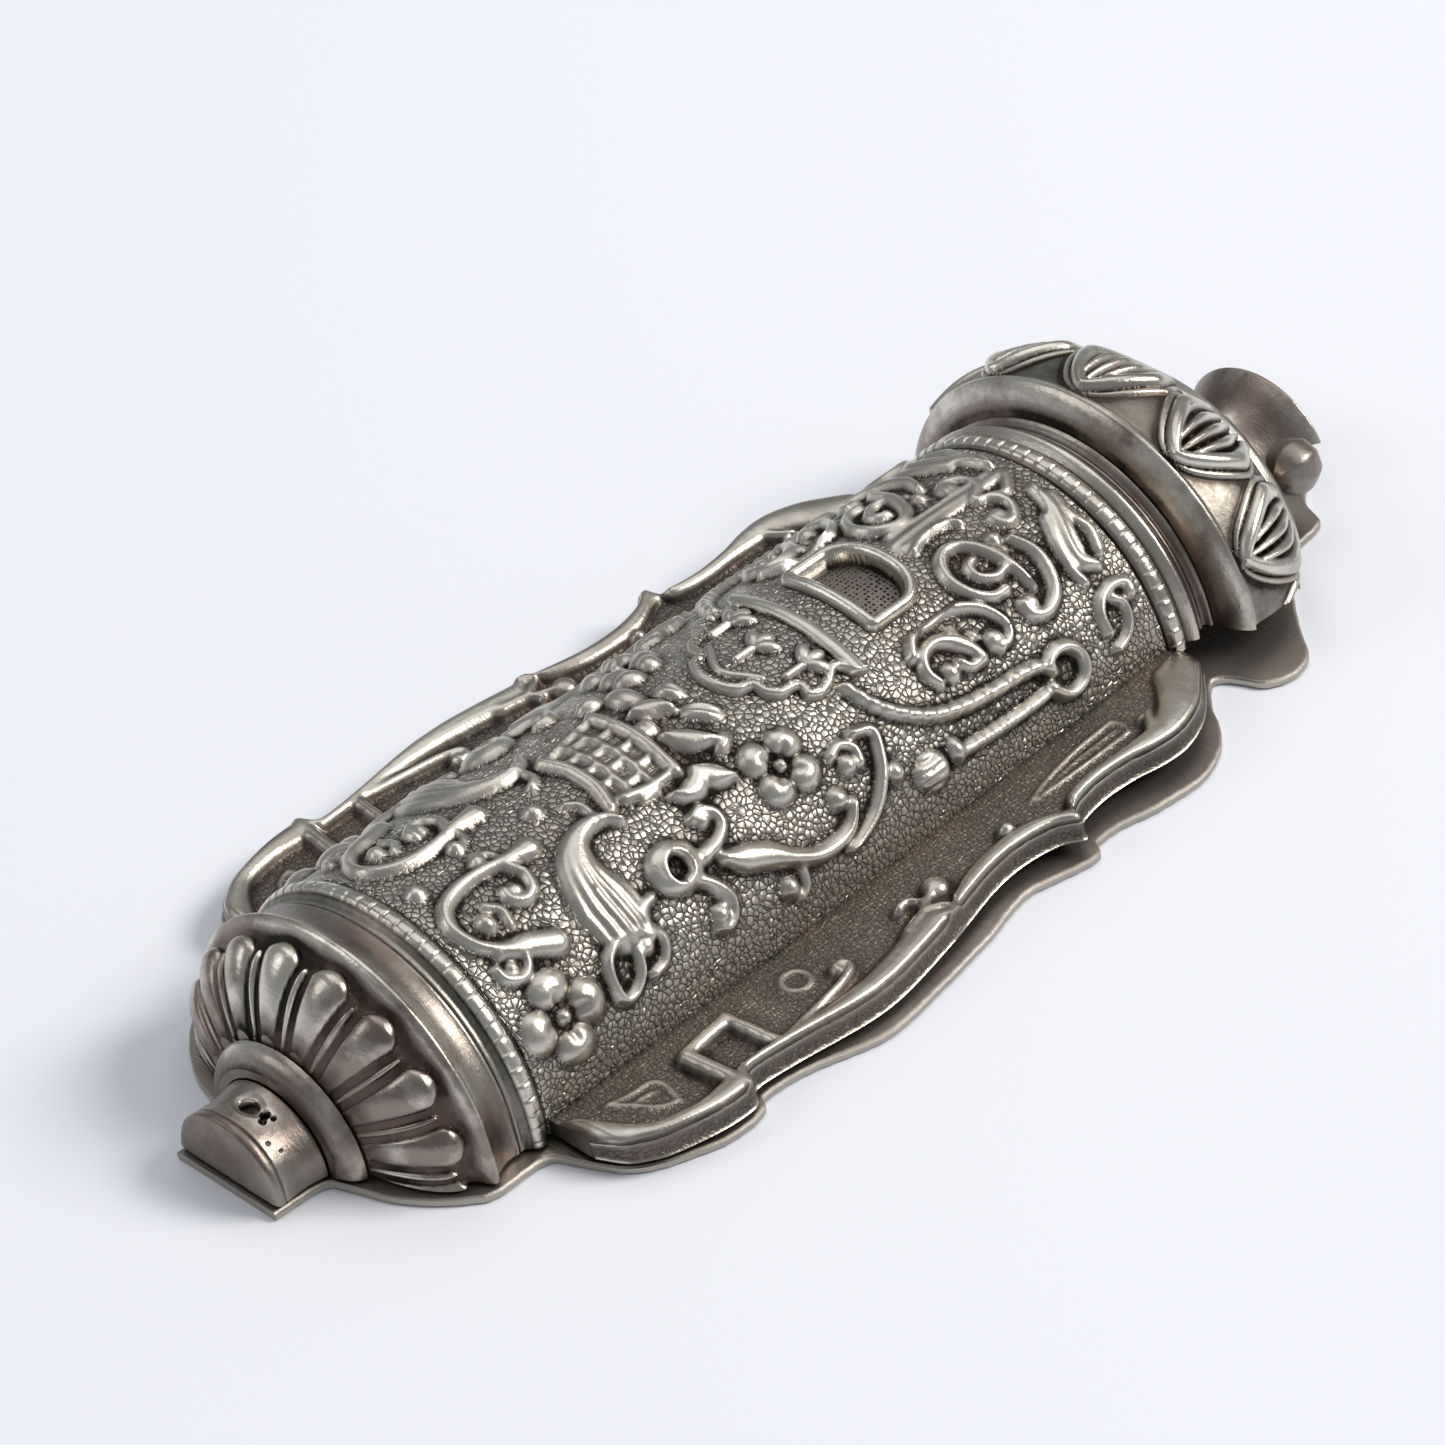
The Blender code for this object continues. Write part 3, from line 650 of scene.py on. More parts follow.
def staff(r):
    """The leafy staff between the window and the rings."""
    r.ridge([(-0.1, 64.2), (-0.3, 61.0), (-0.3, 57.0), (0.1, 53.0)], [0.9, 1.3, 1.6, 1.9, 2.0], 0.45,
            flutes=3)
    r.ridge([(0.3, 64.1), (1.0, 63.5), (1.7, 62.6), (1.2, 61.4)], 0.75, 0.55)
    r.ridge([(1.7, 57.6), (1.1, 57.1), (0.85, 55.6), (1.0, 54.1), (1.5, 52.8)], 0.6, 0.65)
    r.ridge([(-0.9, 63.4), (-1.0, 59.0), (-1.1, 55.5), (-1.3, 53.0)], 0.5, 0.5)
    for s, y, size in ((1.2, 14.1, 0.85), (1.2, 2.8, 0.85), (-0.2, 7.9, 0.7), (2.0, 7.9, 0.7)):
        r.dome(s, y, size, size, 0.7)


def mirrored(relief):
    """The same surface read as if mirrored, so that the right side's ornament lands on the left."""
    other = Relief(2 * MIRROR_S - relief.across, relief.along)
    other.height = relief.height
    return other


def arch(margin):
    """Outline of the arched window, grown by margin."""
    low, high = WINDOW
    half = WINDOW_HALF + margin
    spring = low + 3.0
    outline = [(WINDOW_S - half, low - margin), (WINDOW_S + half, low - margin)]
    for step in range(25):
        a = math.pi * step / 24
        reach = abs(math.cos(a)) ** 0.8 * math.copysign(1, math.cos(a))
        outline.append((WINDOW_S + half * reach, spring + (high - spring + margin) * math.sin(a)))
    return outline


BEZEL_BOX = stations("window_bezel")
WINDOW = (BEZEL_BOX[0] + 1.0, BEZEL_BOX[1] - 0.7)
WINDOW_HALF = node_box("window_bezel")[1][0] - 1.0
WINDOW_S = 0.35
SHIELD = stations("breastplate")
SHIELD_SIDE = (-6.3, 7.4)
SHIELD_MIDDLE = (SHIELD_SIDE[0] + SHIELD_SIDE[1]) / 2


def draw_barrel(r):
    scrollwork(r)
    scrollwork(mirrored(r))
    middle = np.abs(r.across - MIRROR_S) < 6.2
    shield_rows = (r.along > SHIELD[0] - 0.4) & (r.along < SHIELD[1] + 0.6)
    window_rows = (r.along > WINDOW[0] - 1.2) & (r.along < WINDOW[1] + 1.3)
    r.height[middle & (shield_rows | window_rows)] = 0.0
    staff(r)
    basket(r)
    inside = outline_distance(r.across, r.along, arch(0.1))
    r.height = np.where(inside > -0.4, r.height * smoothstep(-0.4, -1.0, inside), r.height)
    r.height = r.height - 1.2 * smoothstep(0.0, 0.35, inside)


def barrel():
    half_round("barrel_relief", "barrel_shell", lambda y: np.full_like(y, BARREL_R, dtype=float),
               SILVER_GROUND, pebbled=True, draw=draw_barrel)


# ---------------------------------------------------------------- pieces laid over the barrel
def patch(name, node, low, high, height_of, material, spacing=0.12, ground=False):
    """A patch of surface over the barrel. Where it is lower than the barrel it is hidden by it."""
    s, y = np.meshgrid(np.arange(low[0], high[0], spacing), np.arange(low[1], high[1], spacing))
    height, pebbled = height_of(s, y)
    angle = math.pi / 2 - s / BARREL_R
    extra = {"cavity": cavity_of(height, spacing)}
    if ground:
        extra["ground"] = pebbled
    grid = section_point(np.full_like(y, BARREL_R), y, angle, height)
    add_piece(name, [(grid, True, extra)], "front", material, (node,))


def bezel_height(s, y):
    """A round moulding along the arch, with a fine step inside it."""
    edge = outline_distance(s, y, arch(0.0))
    moulding = 0.95 * np.clip(1 - (np.abs(edge + 0.25) / 0.62) ** 2, 0, 1) ** 0.5
    return moulding - 0.12 - 0.9 * smoothstep(0.28, 0.42, edge), np.zeros_like(s)


def backing_height(s, _):
    """A level sheet behind the window."""
    return np.full_like(s, -0.75), np.zeros_like(s)


def shield_outline():
    """Breastplate: straight top, notched right and left sides, scalloped foot."""
    middle = SHIELD_MIDDLE
    right = [(7.4, 41.9), (7.0, 40.7), (6.0, 39.9), (6.6, 38.9), (7.0, 37.4), (6.3, 36.2), (5.5, 36.3),
             (5.2, 34.8), (4.2, 33.9), (3.4, 33.8), (3.0, 32.7), (1.9, 32.0)]
    left = [(2 * middle - s, y) for s, y in reversed(right)]
    return [tuple(corner) for corner in curve_through(right + [(middle, 31.8)] + left, 0.35)]


def shield_height(s, y):
    """A flat plaque with a thin raised edge, a moulded top and three buds in place of lettering."""
    middle = SHIELD_MIDDLE
    edge = outline_distance(s, y, shield_outline())
    plaque = Relief(s, y)
    for offset, station in ((-3.6, 38.3), (0.0, 37.0), (3.6, 38.3)):
        for leaf in range(3):
            a = math.radians(90 + 48 * (leaf - 1))
            plaque.dome(middle + offset + 0.9 * math.cos(a), station + 0.9 * math.sin(a), 1.15, 0.62, 0.6,
                        math.degrees(a))
        plaque.ridge([(middle + offset, station - 1.9), (middle + offset, station - 0.3)], 0.6, 0.5)
    plaque.ridge([(middle - 6.0, 41.0), (middle, 41.2), (middle + 6.4, 41.0)], 1.1, 0.5)
    plaque.ridge([(middle - 2.6, 35.0), (middle, 33.5), (middle + 2.6, 35.0)], 0.6, 0.35)
    rim = 0.4 * np.clip(1 - ((edge - 0.45) / 0.5) ** 2, 0, 1) ** 0.55
    height = -0.25 + 0.62 * smoothstep(-0.15, 0.25, edge) + np.maximum(rim, plaque.height) * (edge > 0)
    pebbled = smoothstep(0.5, 0.7, edge) * (1 - smoothstep(0.03, 0.12, plaque.height))
    return height, pebbled


def overlays():
    low = np.array([WINDOW_S - WINDOW_HALF - 1.4, WINDOW[0] - 1.3])
    high = np.array([WINDOW_S + WINDOW_HALF + 1.4, WINDOW[1] + 1.3])
    patch("window_moulding", "window_bezel", low, high, bezel_height, SILVER_BRIGHT)
    patch("window_stippled_backing", "window_backing", low + 0.9, high - 0.9, backing_height, STIPPLED,
          0.3)
    patch("breastplate_plaque", "breastplate", (SHIELD_SIDE[0] - 0.5, SHIELD[0] - 1.2),
          (SHIELD_SIDE[1] + 0.5, SHIELD[1] + 0.6), shield_height, SILVER_GROUND, 0.1, True)


def stippled():
    """The window's backing: dark sheet with even rows of fine punch marks."""
    n = Nodes("silver_stippled")
    inputs = {"Vector": n.place((1.0, 1.0, 0.0)), "Scale": 1000 / 0.40, "Randomness": 0.3}
    cells = n.add("ShaderNodeTexVoronoi", inputs, feature="F1")
    pit = n.span(cells.outputs["Distance"], 0.16, 0.36)
    cloud = n.noise(200.0)
    colour = n.mix(n.span(cloud, 0.3, 0.7), (0.16, 0.14, 0.125), (0.28, 0.25, 0.22))
    n.join(n.mix(pit, (0.012, 0.011, 0.010), colour), "Base Color")
    n.join(n.span(cloud, 0.3, 0.7, 0.45, 0.6), "Roughness")
    n.bump(pit, 1.0, 0.00012)
    return n.metal()


STIPPLED = stippled()


# ---------------------------------------------------------------- rings, base and crown
BEAD = 4.9                  # degrees from one bead to the next


def beads(y, angle, low, high, depth):
    """Round-ended beads along a ring, cut apart by narrow notches."""
    phase = np.abs((crest_angle(angle) / BEAD) % 1 - 0.5) * 2
    notch = smoothstep(0.78, 0.98, phase)
    middle = (low + high) / 2
    reach = (high - low) / 2
    crown = 0.4 * np.sqrt(np.clip(1 - ((y - middle) / reach) ** 2, 0, 1))
    return crown - depth * notch * (crown > 0.1)


def lower_ring():
    low, high = stations("lower_beaded_ring")
    profile = from_low(low, [(0, 13.95), (0.35, 13.95), (0.75, 14.3)], (high, 14.3))
    half_round("lower_milled_ring", "lower_beaded_ring", profile, SILVER_BRIGHT, 0.12,
               lambda y, a: beads(y, a, low + 0.75, high - 0.15, 0.10), edge=0.12, gain=1.7)


def upper_rings():
    low, high = stations("upper_beaded_ring")
    half_round("upper_milled_ring", "upper_beaded_ring", lines([(low, 14.35), (high, 14.4)]), SILVER_BRIGHT,
               0.12, lambda y, a: beads(y, a, low + 0.15, high - 0.1, 0.13), gain=1.6)
    low_neck, high_neck = stations("neck_ring")
    profile = soft_lines([(low_neck, 14.2), ((low_neck + high_neck) / 2, 14.75), (high_neck, 14.1)])
    half_round("smooth_neck_ring", "neck_ring", profile, SILVER_BRIGHT, 0.14)


LOBE = 21.2                 # degrees from one lobe's middle to the next


def lobes(y, angle):
    """Gadroons: eight round-ended lobes with thin darts between them, over a plain rim."""
    turn = (crest_angle(angle) / LOBE) % 1
    across = np.abs(turn - 0.5) * LOBE
    share = np.clip((y + 9.8) / 4.2, 0, 1)
    half = 8.2 * (0.62 + 0.38 * share)
    reach = np.clip((share - 0.66) / 0.34, 0, 1)
    lobe = 1.05 * np.clip(1 - (across / half) ** 2 - reach ** 2, 0, 1) ** 0.5
    dart_half = 1.5 - 0.5 * share
    dart_reach = np.clip((share - 0.5) / 0.3, 0, 1)
    dart = 0.55 * np.clip(1 - ((LOBE / 2 - across) / dart_half) ** 2 - dart_reach ** 2, 0, 1) ** 0.5
    return np.maximum(lobe, dart)


def dome_tone(y, height):
    """Dark between the lobes, but not on the plain rim."""
    return 0.12 - 0.36 * (1 - smoothstep(0.02, 0.25, height)) * smoothstep(-4.9, -5.5, y)


def base():
    low, high = stations("base_collar")
    profile = soft_lines([(low, 14.45), (low + 0.4, 14.25), ((low + high) / 2, 13.95), (high - 0.4, 13.9),
                          (high, 14.0)])
    half_round("plain_collar", "base_collar", profile, SILVER_WORN, 0.14, edge=0.12)
    low, high = stations("base_dome")
    profile = from_low(low, [(0, 7.5), (0.5, 9.2), (1.2, 10.9), (2.0, 12.1), (2.9, 12.9), (3.7, 13.3),
                             (4.2, 13.8), (4.55, 14.6), (4.9, 14.95)], (high, 14.9))
    half_round("gadrooned_dome", "base_dome", profile, SILVER_WORN, 0.10, lobes, edge=0.2,
               gain=1.2, shade=dome_tone)
    low, high = stations("base_step_ring")
    profile = from_low(low, [(0, 6.2), (0.3, 6.9), (0.8, 7.4)], (high, 7.6))
    half_round("step_ring", "base_step_ring", profile, SILVER_WORN, 0.12, edge=0.12)


NAIL_HALF = (0.95, 0.65)    # half length and half width of a nail slot


def nail_hole(y, angle, radius, station):
    """A punched nail slot with a soft lip, as a steep pit."""
    x = radius * np.cos(angle)
    d = np.sqrt((x / NAIL_HALF[0]) ** 2 + ((y - station) / NAIL_HALF[1]) ** 2)
    return -1.3 * (1 - smoothstep(0.75, 1.05, d)) - 0.12 * (1 - smoothstep(1.0, 1.7, d))


def stub():
    """The stub, with its nail slot and a few flaws."""
    low, high = stations("base_stub")
    radius = node_box("base_stub")[1][0] - 0.1
    slot_at = (low + high) / 2
    # (angle from the crest, station, radius, depth): a ragged second hole and two small flaws
    pits = [(0.30, slot_at + 0.15, 0.42, 0.9), (0.36, slot_at - 0.35, 0.30, 0.6),
            (0.42, slot_at + 0.4, 0.22, 0.4), (0.66, low + 0.5, 0.18, 0.12), (0.85, low + 1.0, 0.14, 0.12)]

    def relief(y, angle):
        height = nail_hole(y, angle, radius, slot_at)
        for across, station, size, depth in pits:
            d = np.hypot((angle - math.pi / 2 + across) * radius, y - station) / size
            height = height - depth * smoothstep(1.0, 0.6, d)
        return height + 0.03 * np.sin(angle * 3 + y)

    profile = soft_lines([(low, radius), (slot_at, radius - 0.08), (high, radius + 0.15)])
    half_round("nail_stub", "base_stub", profile, SILVER_WORN, 0.07, relief, edge=0.08)


def disc_cap():
    """The half-disc that closes the stub, with rounded edges and a faint solder seam."""
    low, high = stations("base_end_cap")
    top = node_box("base_end_cap")[1]
    turn = np.linspace(0, math.pi, 97)
    rows = []
    for share, y in ((0.02, low), (0.5, low), (0.9, low + 0.02), (0.97, low + 0.1), (1.0, low + 0.25),
                     (1.0, high), (0.98, high + 0.17)):
        wave = 0.03 * np.sin(5 * turn) * share
        x = top[0] * share * np.cos(turn)
        z = AXIS_Z + (top[2] - AXIS_Z) * share * np.sin(turn)
        rows.append(np.stack([x, np.full_like(x, y) + wave, z], -1))
    grids = [(np.array(rows), False, {})]
    add_piece("stub_end_disc", grids, "front", SILVER_WORN, ("base_end_cap",))


LEAF = 31.5                 # degrees from one panel's middle to the next
LEAF_HALF = 15.7            # half a panel's greatest width, in degrees
LEAF_RIBS = 7.0


def leaves(y, angle):
    """Almond panels: a raised outline, a bold band inside it and a fan of ribs, on plain ground."""
    low, high = CROWN_SPAN
    share = np.clip((y - low) / (high - low), 0, 1)
    across = ((crest_angle(angle) / LEAF + 0.5) % 1 - 0.5) * LEAF
    swell = np.clip((share - 0.03) / 0.62, 0, 1) ** 0.46
    half = LEAF_HALF * swell * (1 - 0.16 * smoothstep(0.7, 1.0, share))
    gap = (half - np.abs(across)) / LEAF_HALF * (share > 0.03)
    outer = 0.32 * np.clip(1 - ((gap - 0.07) / 0.085) ** 2, 0, 1) ** 0.5
    band = 0.95 * np.clip(1 - ((gap - 0.33) / 0.19) ** 2, 0, 1) ** 0.5
    fan = across / np.maximum(half, 1e-3)
    rib = (0.5 + 0.5 * np.cos(fan * math.pi * LEAF_RIBS)) ** 0.5
    field = smoothstep(0.34, 0.46, gap)
    inside = field * (0.05 + 0.80 * rib)
    return np.maximum(np.maximum(outer, band), inside) * smoothstep(0.0, 0.06, share)


CROWN_SPAN = stations("crown_leaf_band")


def crown():
    low, high = stations("crown_neck")
    profile = soft_lines([(low, 14.1), ((low + high) / 2, 13.9), (high, 14.5)])
    half_round("crown_hollow_neck", "crown_neck", profile, SILVER_WORN, 0.12, edge=0.05,
               grow=(0.2, 0.2))
    low, high = stations("crown_flange")
    top = node_box("crown_flange")[1][0]
    profile = from_low(low, [(0, 14.5), (0.2, 15.7), (0.6, 16.7), (1.1, 17.35), (1.6, top - 0.12)],
                       (high - 0.2, top), (high, top - 0.05))
    half_round("crown_cushion", "crown_flange", profile, SILVER_WORN, 0.13, edge=0.3)
    low, high = CROWN_SPAN
    span = high - low
    profile = soft_lines([(low, 17.0), (low + 0.12 * span, 17.1), (low + 0.3 * span, 17.2),
                          (low + 0.5 * span, 17.0), (low + 0.7 * span, 16.4), (low + 0.88 * span, 15.2),
                          (high, 14.2)])
    half_round("crown_leaves", "crown_leaf_band", profile, SILVER_BRIGHT, 0.12, leaves,
               edge=0.2, gain=1.3, shade=lambda y, h: -0.2 * (1 - smoothstep(0.02, 0.2, h)))
    low, high = stations("crown_rim")
    half_round("crown_edge", "crown_rim", lines([(low, 14.0), (high, 13.9)]), SILVER_BRIGHT,
               0.1, edge=0.3)
    low, high = stations("crown_cap")
    profile = from_low(low, [(0, 13.7), (0.4, 12.8), (1.0, 11.9), (1.7, 10.7), (2.3, 9.2)], (high, 7.3))
    half_round("crown_shoulder", "crown_cap", profile, SILVER_WORN, 0.12, edge=0.1)


def finial():
    """The trumpet with its nail slot, and a bud on each side of it."""
    low, high = stations("finial_cup")
    profile = from_low(low, [(0, 5.3), (1.0, 4.75), (2.4, 4.6), (4.0, 4.9), (5.6, 5.6), (7.0, 6.5)],
                       (high, 7.1))
    slot_at = low + 3.2
    half_round("finial_trumpet", "finial_cup", profile, SILVER_WORN, 0.09,
               lambda y, a: nail_hole(y, a, profile(y), slot_at), grow=(GROW[0], 0.0))
    for name, node in (("finial_bud_right", "finial_ball_right"), ("finial_bud_left", "finial_ball_left")):
        box_low, box_high = node_box(node)
        centre = (box_low + box_high) / 2
        radius = (box_high[0] - box_low[0]) / 2
        turn, rise = np.meshgrid(np.linspace(0, 2 * math.pi, 61),
                                 np.linspace(-math.pi / 2, math.pi / 2, 33))
        swell = radius * (1 - 0.05 * np.abs(np.sin(4 * turn)) * np.cos(rise))
        x = centre[0] + swell * np.cos(rise) * np.cos(turn)
        z = centre[2] + swell * np.cos(rise) * np.sin(turn)
        y = centre[1] - ORIGIN + swell * np.sin(rise)
        grids = [(np.stack([x, y, z], -1), False, {})]
        add_piece(name, grids, "front", SILVER_WORN, (node,))


# ---------------------------------------------------------------- wings
WING_Y = stations("wing_right")
WING_BOTTOM = node_box("wing_right")[0][2]
WING_FIELD = 1.15           # height of a wing's field over its underside
WING_HEIGHT = 2.1           # height of its rim
WING_FREE_Y = 65.8          # station past which a wing is clear of the barrel
WING_NOTCH_Y = 47.65        # station of the notch in its rim
WING_REST_Y = 25.0          # station up to which a wing lies level
# (station, distance from the middle line) along a wing's outer edge and along its rim's inner edge
OUTER_EDGE = [(1.1, 18.2), (2.1, 20.2), (3.4, 21.3), (5.0, 22.1), (8.5, 23.0), (11.2, 23.2), (12.2, 22.9),
              (12.9, 22.0), (14.2, 21.9), (17.5, 22.3), (22.6, 23.1), (26.0, 23.2), (29.2, 22.8),
              (33.5, 22.0), (38.7, 20.8), (42.2, 20.6), (45.3, 21.2), (46.8, 22.2), (47.4, 21.9),
              (48.0, 20.9), (50.8, 20.4), (53.9, 20.6), (56.6, 21.2), (59.2, 21.3), (62.0, 20.4),
              (64.2, 18.8), (66.2, 16.9)]
INNER_EDGE = [(1.1, 15.2), (2.1, 15.8), (3.5, 18.5), (4.6, 20.0), (5.8, 20.7), (8.5, 21.2), (11.0, 21.0),
              (13.0, 20.9), (16.0, 21.0), (20.0, 21.3), (24.0, 21.3), (27.0, 20.9), (30.0, 20.3),
              (32.5, 19.7), (33.3, 20.6), (34.4, 21.4), (35.2, 20.4), (38.0, 19.3), (41.0, 18.9),
              (44.0, 19.1), (46.6, 20.3), (47.4, 20.4), (48.3, 19.6), (51.0, 19.1), (55.0, 19.2),
              (58.0, 19.0), (60.0, 18.0), (61.5, 16.6), (63.0, 15.2), (66.2, 14.7)]


def draw_wing(r):
    """Everything raised on a wing's field inside its rim."""
    # fleur: round head, waist and two curls, growing out of the rim
    r.dome(18.8, 35.2, 1.15, 1.25, 1.1, 20, power=0.4)
    r.ridge([(18.9, 34.8), (19.5, 33.6), (20.2, 32.4), (20.7, 30.4)], [1.0, 0.8, 1.2, 1.2], 0.95)
    r.ridge([(19.8, 33.0), (19.0, 33.3), (18.3, 32.7), (18.4, 31.8)], [0.9, 0.7, 0.7, 0.8], 0.9)
    r.ridge([(20.2, 33.0), (20.8, 34.1), (21.6, 34.3), (21.9, 33.5)], [0.9, 0.7, 0.7, 0.8], 1.05)
    r.ridge([(20.9, 31.0), (21.5, 28.0), (22.0, 24.5)], [0.3, 0.45, 0.3], 1.0)
    # hook beside the stem
    r.ridge([(21.6, 16.5), (21.2, 19.0), (20.8, 21.6), (20.4, 23.8), (19.8, 25.4), (19.0, 25.4),
             (18.9, 24.5)], [0.9, 0.8, 0.8, 0.7], 0.8)
    r.dome(19.3, 24.6, 0.6, 0.65, 0.8)
    # knob and spur on the upper rim
    r.dome(18.6, 43.0, 0.75, 0.9, 1.0)
    r.ridge([(19.5, 58.0), (18.6, 58.6), (17.9, 59.5)], [1.1, 0.7, 0.4], 0.85)
    r.dome(17.9, 58.6, 0.35, 0.45, 0.6)
    # square link beside the step
    r.ridge([(22.6, 11.9), (20.0, 11.6), (17.5, 11.3)], 1.2, 1.0, power=0.3)
    r.ridge([(17.4, 11.2), (17.1, 13.6), (16.9, 15.9)], 1.05, 0.95, power=0.3)
    r.ridge([(16.9, 15.9), (19.0, 16.2), (21.0, 16.4)], 1.0, 0.9, power=0.3)
    hollow = outline_distance(r.across, r.along, [(18.2, 12.6), (20.4, 12.9), (20.5, 15.4), (17.9, 15.2)])
    r.height = np.where(hollow > 0, -0.75, r.height)
    # soft hollow between the link and the lower scroll
    dip = outline_distance(r.across, r.along, [(17.2, 10.3), (20.6, 10.8), (20.6, 9.0), (18.2, 9.3)])
    r.height = np.where((dip > -0.3) & (r.height < 0.1), -0.5 * smoothstep(-0.3, 0.3, dip), r.height)
    # faint ring, heart and long leaf
    r.oval(17.5, 22.2, 1.05, 1.05, 0.45, 0.25)
    r.ridge([(19.9, 8.1), (17.9, 8.6), (17.0, 8.0), (16.9, 6.4), (16.4, 4.6)], 0.42, 0.22)
    r.ridge([(16.4, 4.6), (17.6, 5.6), (19.3, 6.8), (19.9, 8.1)], 0.42, 0.22)
    r.ridge([(17.9, 7.6), (17.7, 6.2)], 0.42, 0.2)
    r.ridge([(16.3, 57.0), (17.2, 57.3), (18.1, 57.0)], 0.35, 0.22)
    r.ridge([(16.3, 57.0), (16.4, 53.0), (16.9, 49.5), (17.6, 46.8)], 0.35, 0.24)
    r.ridge([(18.1, 57.0), (18.0, 52.0), (17.8, 47.0)], 0.35, 0.24)
    r.ridge([(17.2, 56.6), (17.2, 52.0), (17.6, 48.4)], 0.3, 0.16)


def edge_at(table, y):
    """Distance from the middle line of a smooth edge drawn through a table's points."""
    path = curve_through(table, 0.15)
    return np.interp(y, path[:, 0], path[:, 1])


def wing_relief(x, y, outer):
    """Height over a wing's field: its ornament and its rounded rim, which has a notch."""
    low, high = WING_Y
    drawing = Relief(x, y)
    draw_wing(drawing)
    rim_in = edge_at(INNER_EDGE, y)
    rim_half = np.maximum((outer - rim_in) / 2, 0.3)
    rim_middle = (outer + rim_in) / 2
    share = np.clip(1 - (np.abs(x - rim_middle) / rim_half) ** 2, 0, 1)
    tilt = 0.16 * (x - rim_middle) / rim_half
    rim = (WING_HEIGHT - WING_FIELD) * share ** 0.34 + tilt * (share > 0)
    rim = rim * (0.25 + 0.75 * smoothstep(low, low + 0.9, y) * smoothstep(high, high - 0.9, y))
    height = np.maximum(drawing.height, rim)
    notch = 1 - 0.55 * np.exp(-((y - WING_NOTCH_Y) / 0.35) ** 2) * (x > 19.4)
    return blur(np.where(height > 0, height * notch, height), 1)


# down a wing's outer wall to its thin flared lip: (share of the drop, distance out, pebbles, tone), where
# tone is painted light: painted highlights at the top edge and the lip, painted shade down the wall
WING_WALL = [(0.0, 0.0, 0, 0.3), (0.12, 0.12, 0.3, 0.05), (0.35, 0.16, 1, -0.1), (0.6, 0.2, 1, -0.12),
             (0.8, 0.26, 1, -0.1), (0.93, 0.36, 0.3, 0.1), (1.0, 0.48, 0, 0.45), (1.0, 0.40, 0, 0.1)]
WING_LIP = 0.12             # thickness of the lip


def wing_wall(side, y, outer, top_z, bottom):
    """The wall down from a wing's outer edge, with its painted shade and painted highlights."""
    drop, flare, pebbles, tone = np.array(WING_WALL).T
    wall_z = top_z[:, None] + (bottom[:, :1] + WING_LIP - top_z[:, None]) * drop[None, :]
    wall_z[:, -1] -= WING_LIP
    wall_x = outer[:, -1:] + flare[None, :]
    wall = np.stack([side * wall_x, np.repeat(y[:, :1], len(drop), 1), wall_z], -1)
    # tone goes into cavity as painted shade down the wall and painted highlights at its top edge and lip
    return wall, {"cavity": np.tile(tone, (len(y), 1)), "ground": np.tile(pebbles, (len(y), 1))}


def wing_ends(top, wall, bottom, flip):
    """The upright faces that close a wing's two ends, each with a strip beside the flared wall."""
    faces = []
    for row, base_z, turned in ((top[0], bottom[0, 0], flip), (top[-1], bottom[-1, 0], not flip)):
        foot = row * np.array([1, 1, 0]) + np.array([0, 0, 1]) * base_z
        faces.append((np.stack([row, foot], 0), turned, {}))
    for row, turned in ((wall[0], flip), (wall[-1], not flip)):
        back = row.copy()
        back[:, 0] = row[0, 0]
        faces.append((np.stack([row, back]), turned, {"cavity": np.full((2, len(row)), -0.2)}))
    return faces


def wing(name, node, side):
    """One wing: its field and rim, the wall down from its outer edge, its underside and its ends."""
    low, high = WING_Y
    spacing = 0.15
    rows = int((high - low) / spacing)
    cols = 76
    y = np.repeat(np.linspace(low, high, rows)[:, None], cols, 1)
    outer = edge_at(OUTER_EDGE, y)
    bottom = WING_BOTTOM + LIFT_PER_MM * np.maximum(0.0, y - WING_REST_Y)
    rise = (bottom + WING_FIELD - AXIS_Z) / (BARREL_R * FLATTEN)
    inner = np.where(y < WING_FREE_Y, BARREL_R * np.sqrt(1 - rise ** 2) - 0.12, BARREL_R + 0.6)
    inner = np.minimum(inner, outer - 0.8)
    x = inner + (outer - inner) * np.linspace(0, 1, cols)[None, :]
    height = wing_relief(x, y, outer)
    top = np.stack([side * x, y, bottom + WING_FIELD + height], -1)
    # painted shade along the crease where the field meets the barrel
    painted_crease_shade = 0.3 * np.exp(-((x - inner) / 0.5) ** 2)
    polish = 0.22 * smoothstep(0.3, 0.8, height)
    shading = {"cavity": np.clip(cavity_of(height, spacing) - painted_crease_shade + polish, -1, 1),
               "ground": 1 - smoothstep(0.05, 0.16, np.abs(height))}
    wall, wall_shading = wing_wall(side, y, outer, top[:, -1, 2], bottom)
    under = np.stack([wall[:, -1], np.stack([side * inner[:, 0], y[:, 0], bottom[:, 0]], -1)], 1)
    flip = side > 0
    grids = [(top, not flip, shading), (wall, not flip, wall_shading),
             (under, not flip, {"cavity": np.full((rows, 2), -0.3)})]
    grids += wing_ends(top, wall, bottom, flip)
    add_piece(name, grids, "front", SILVER_FIELD_SHADED, (node,))


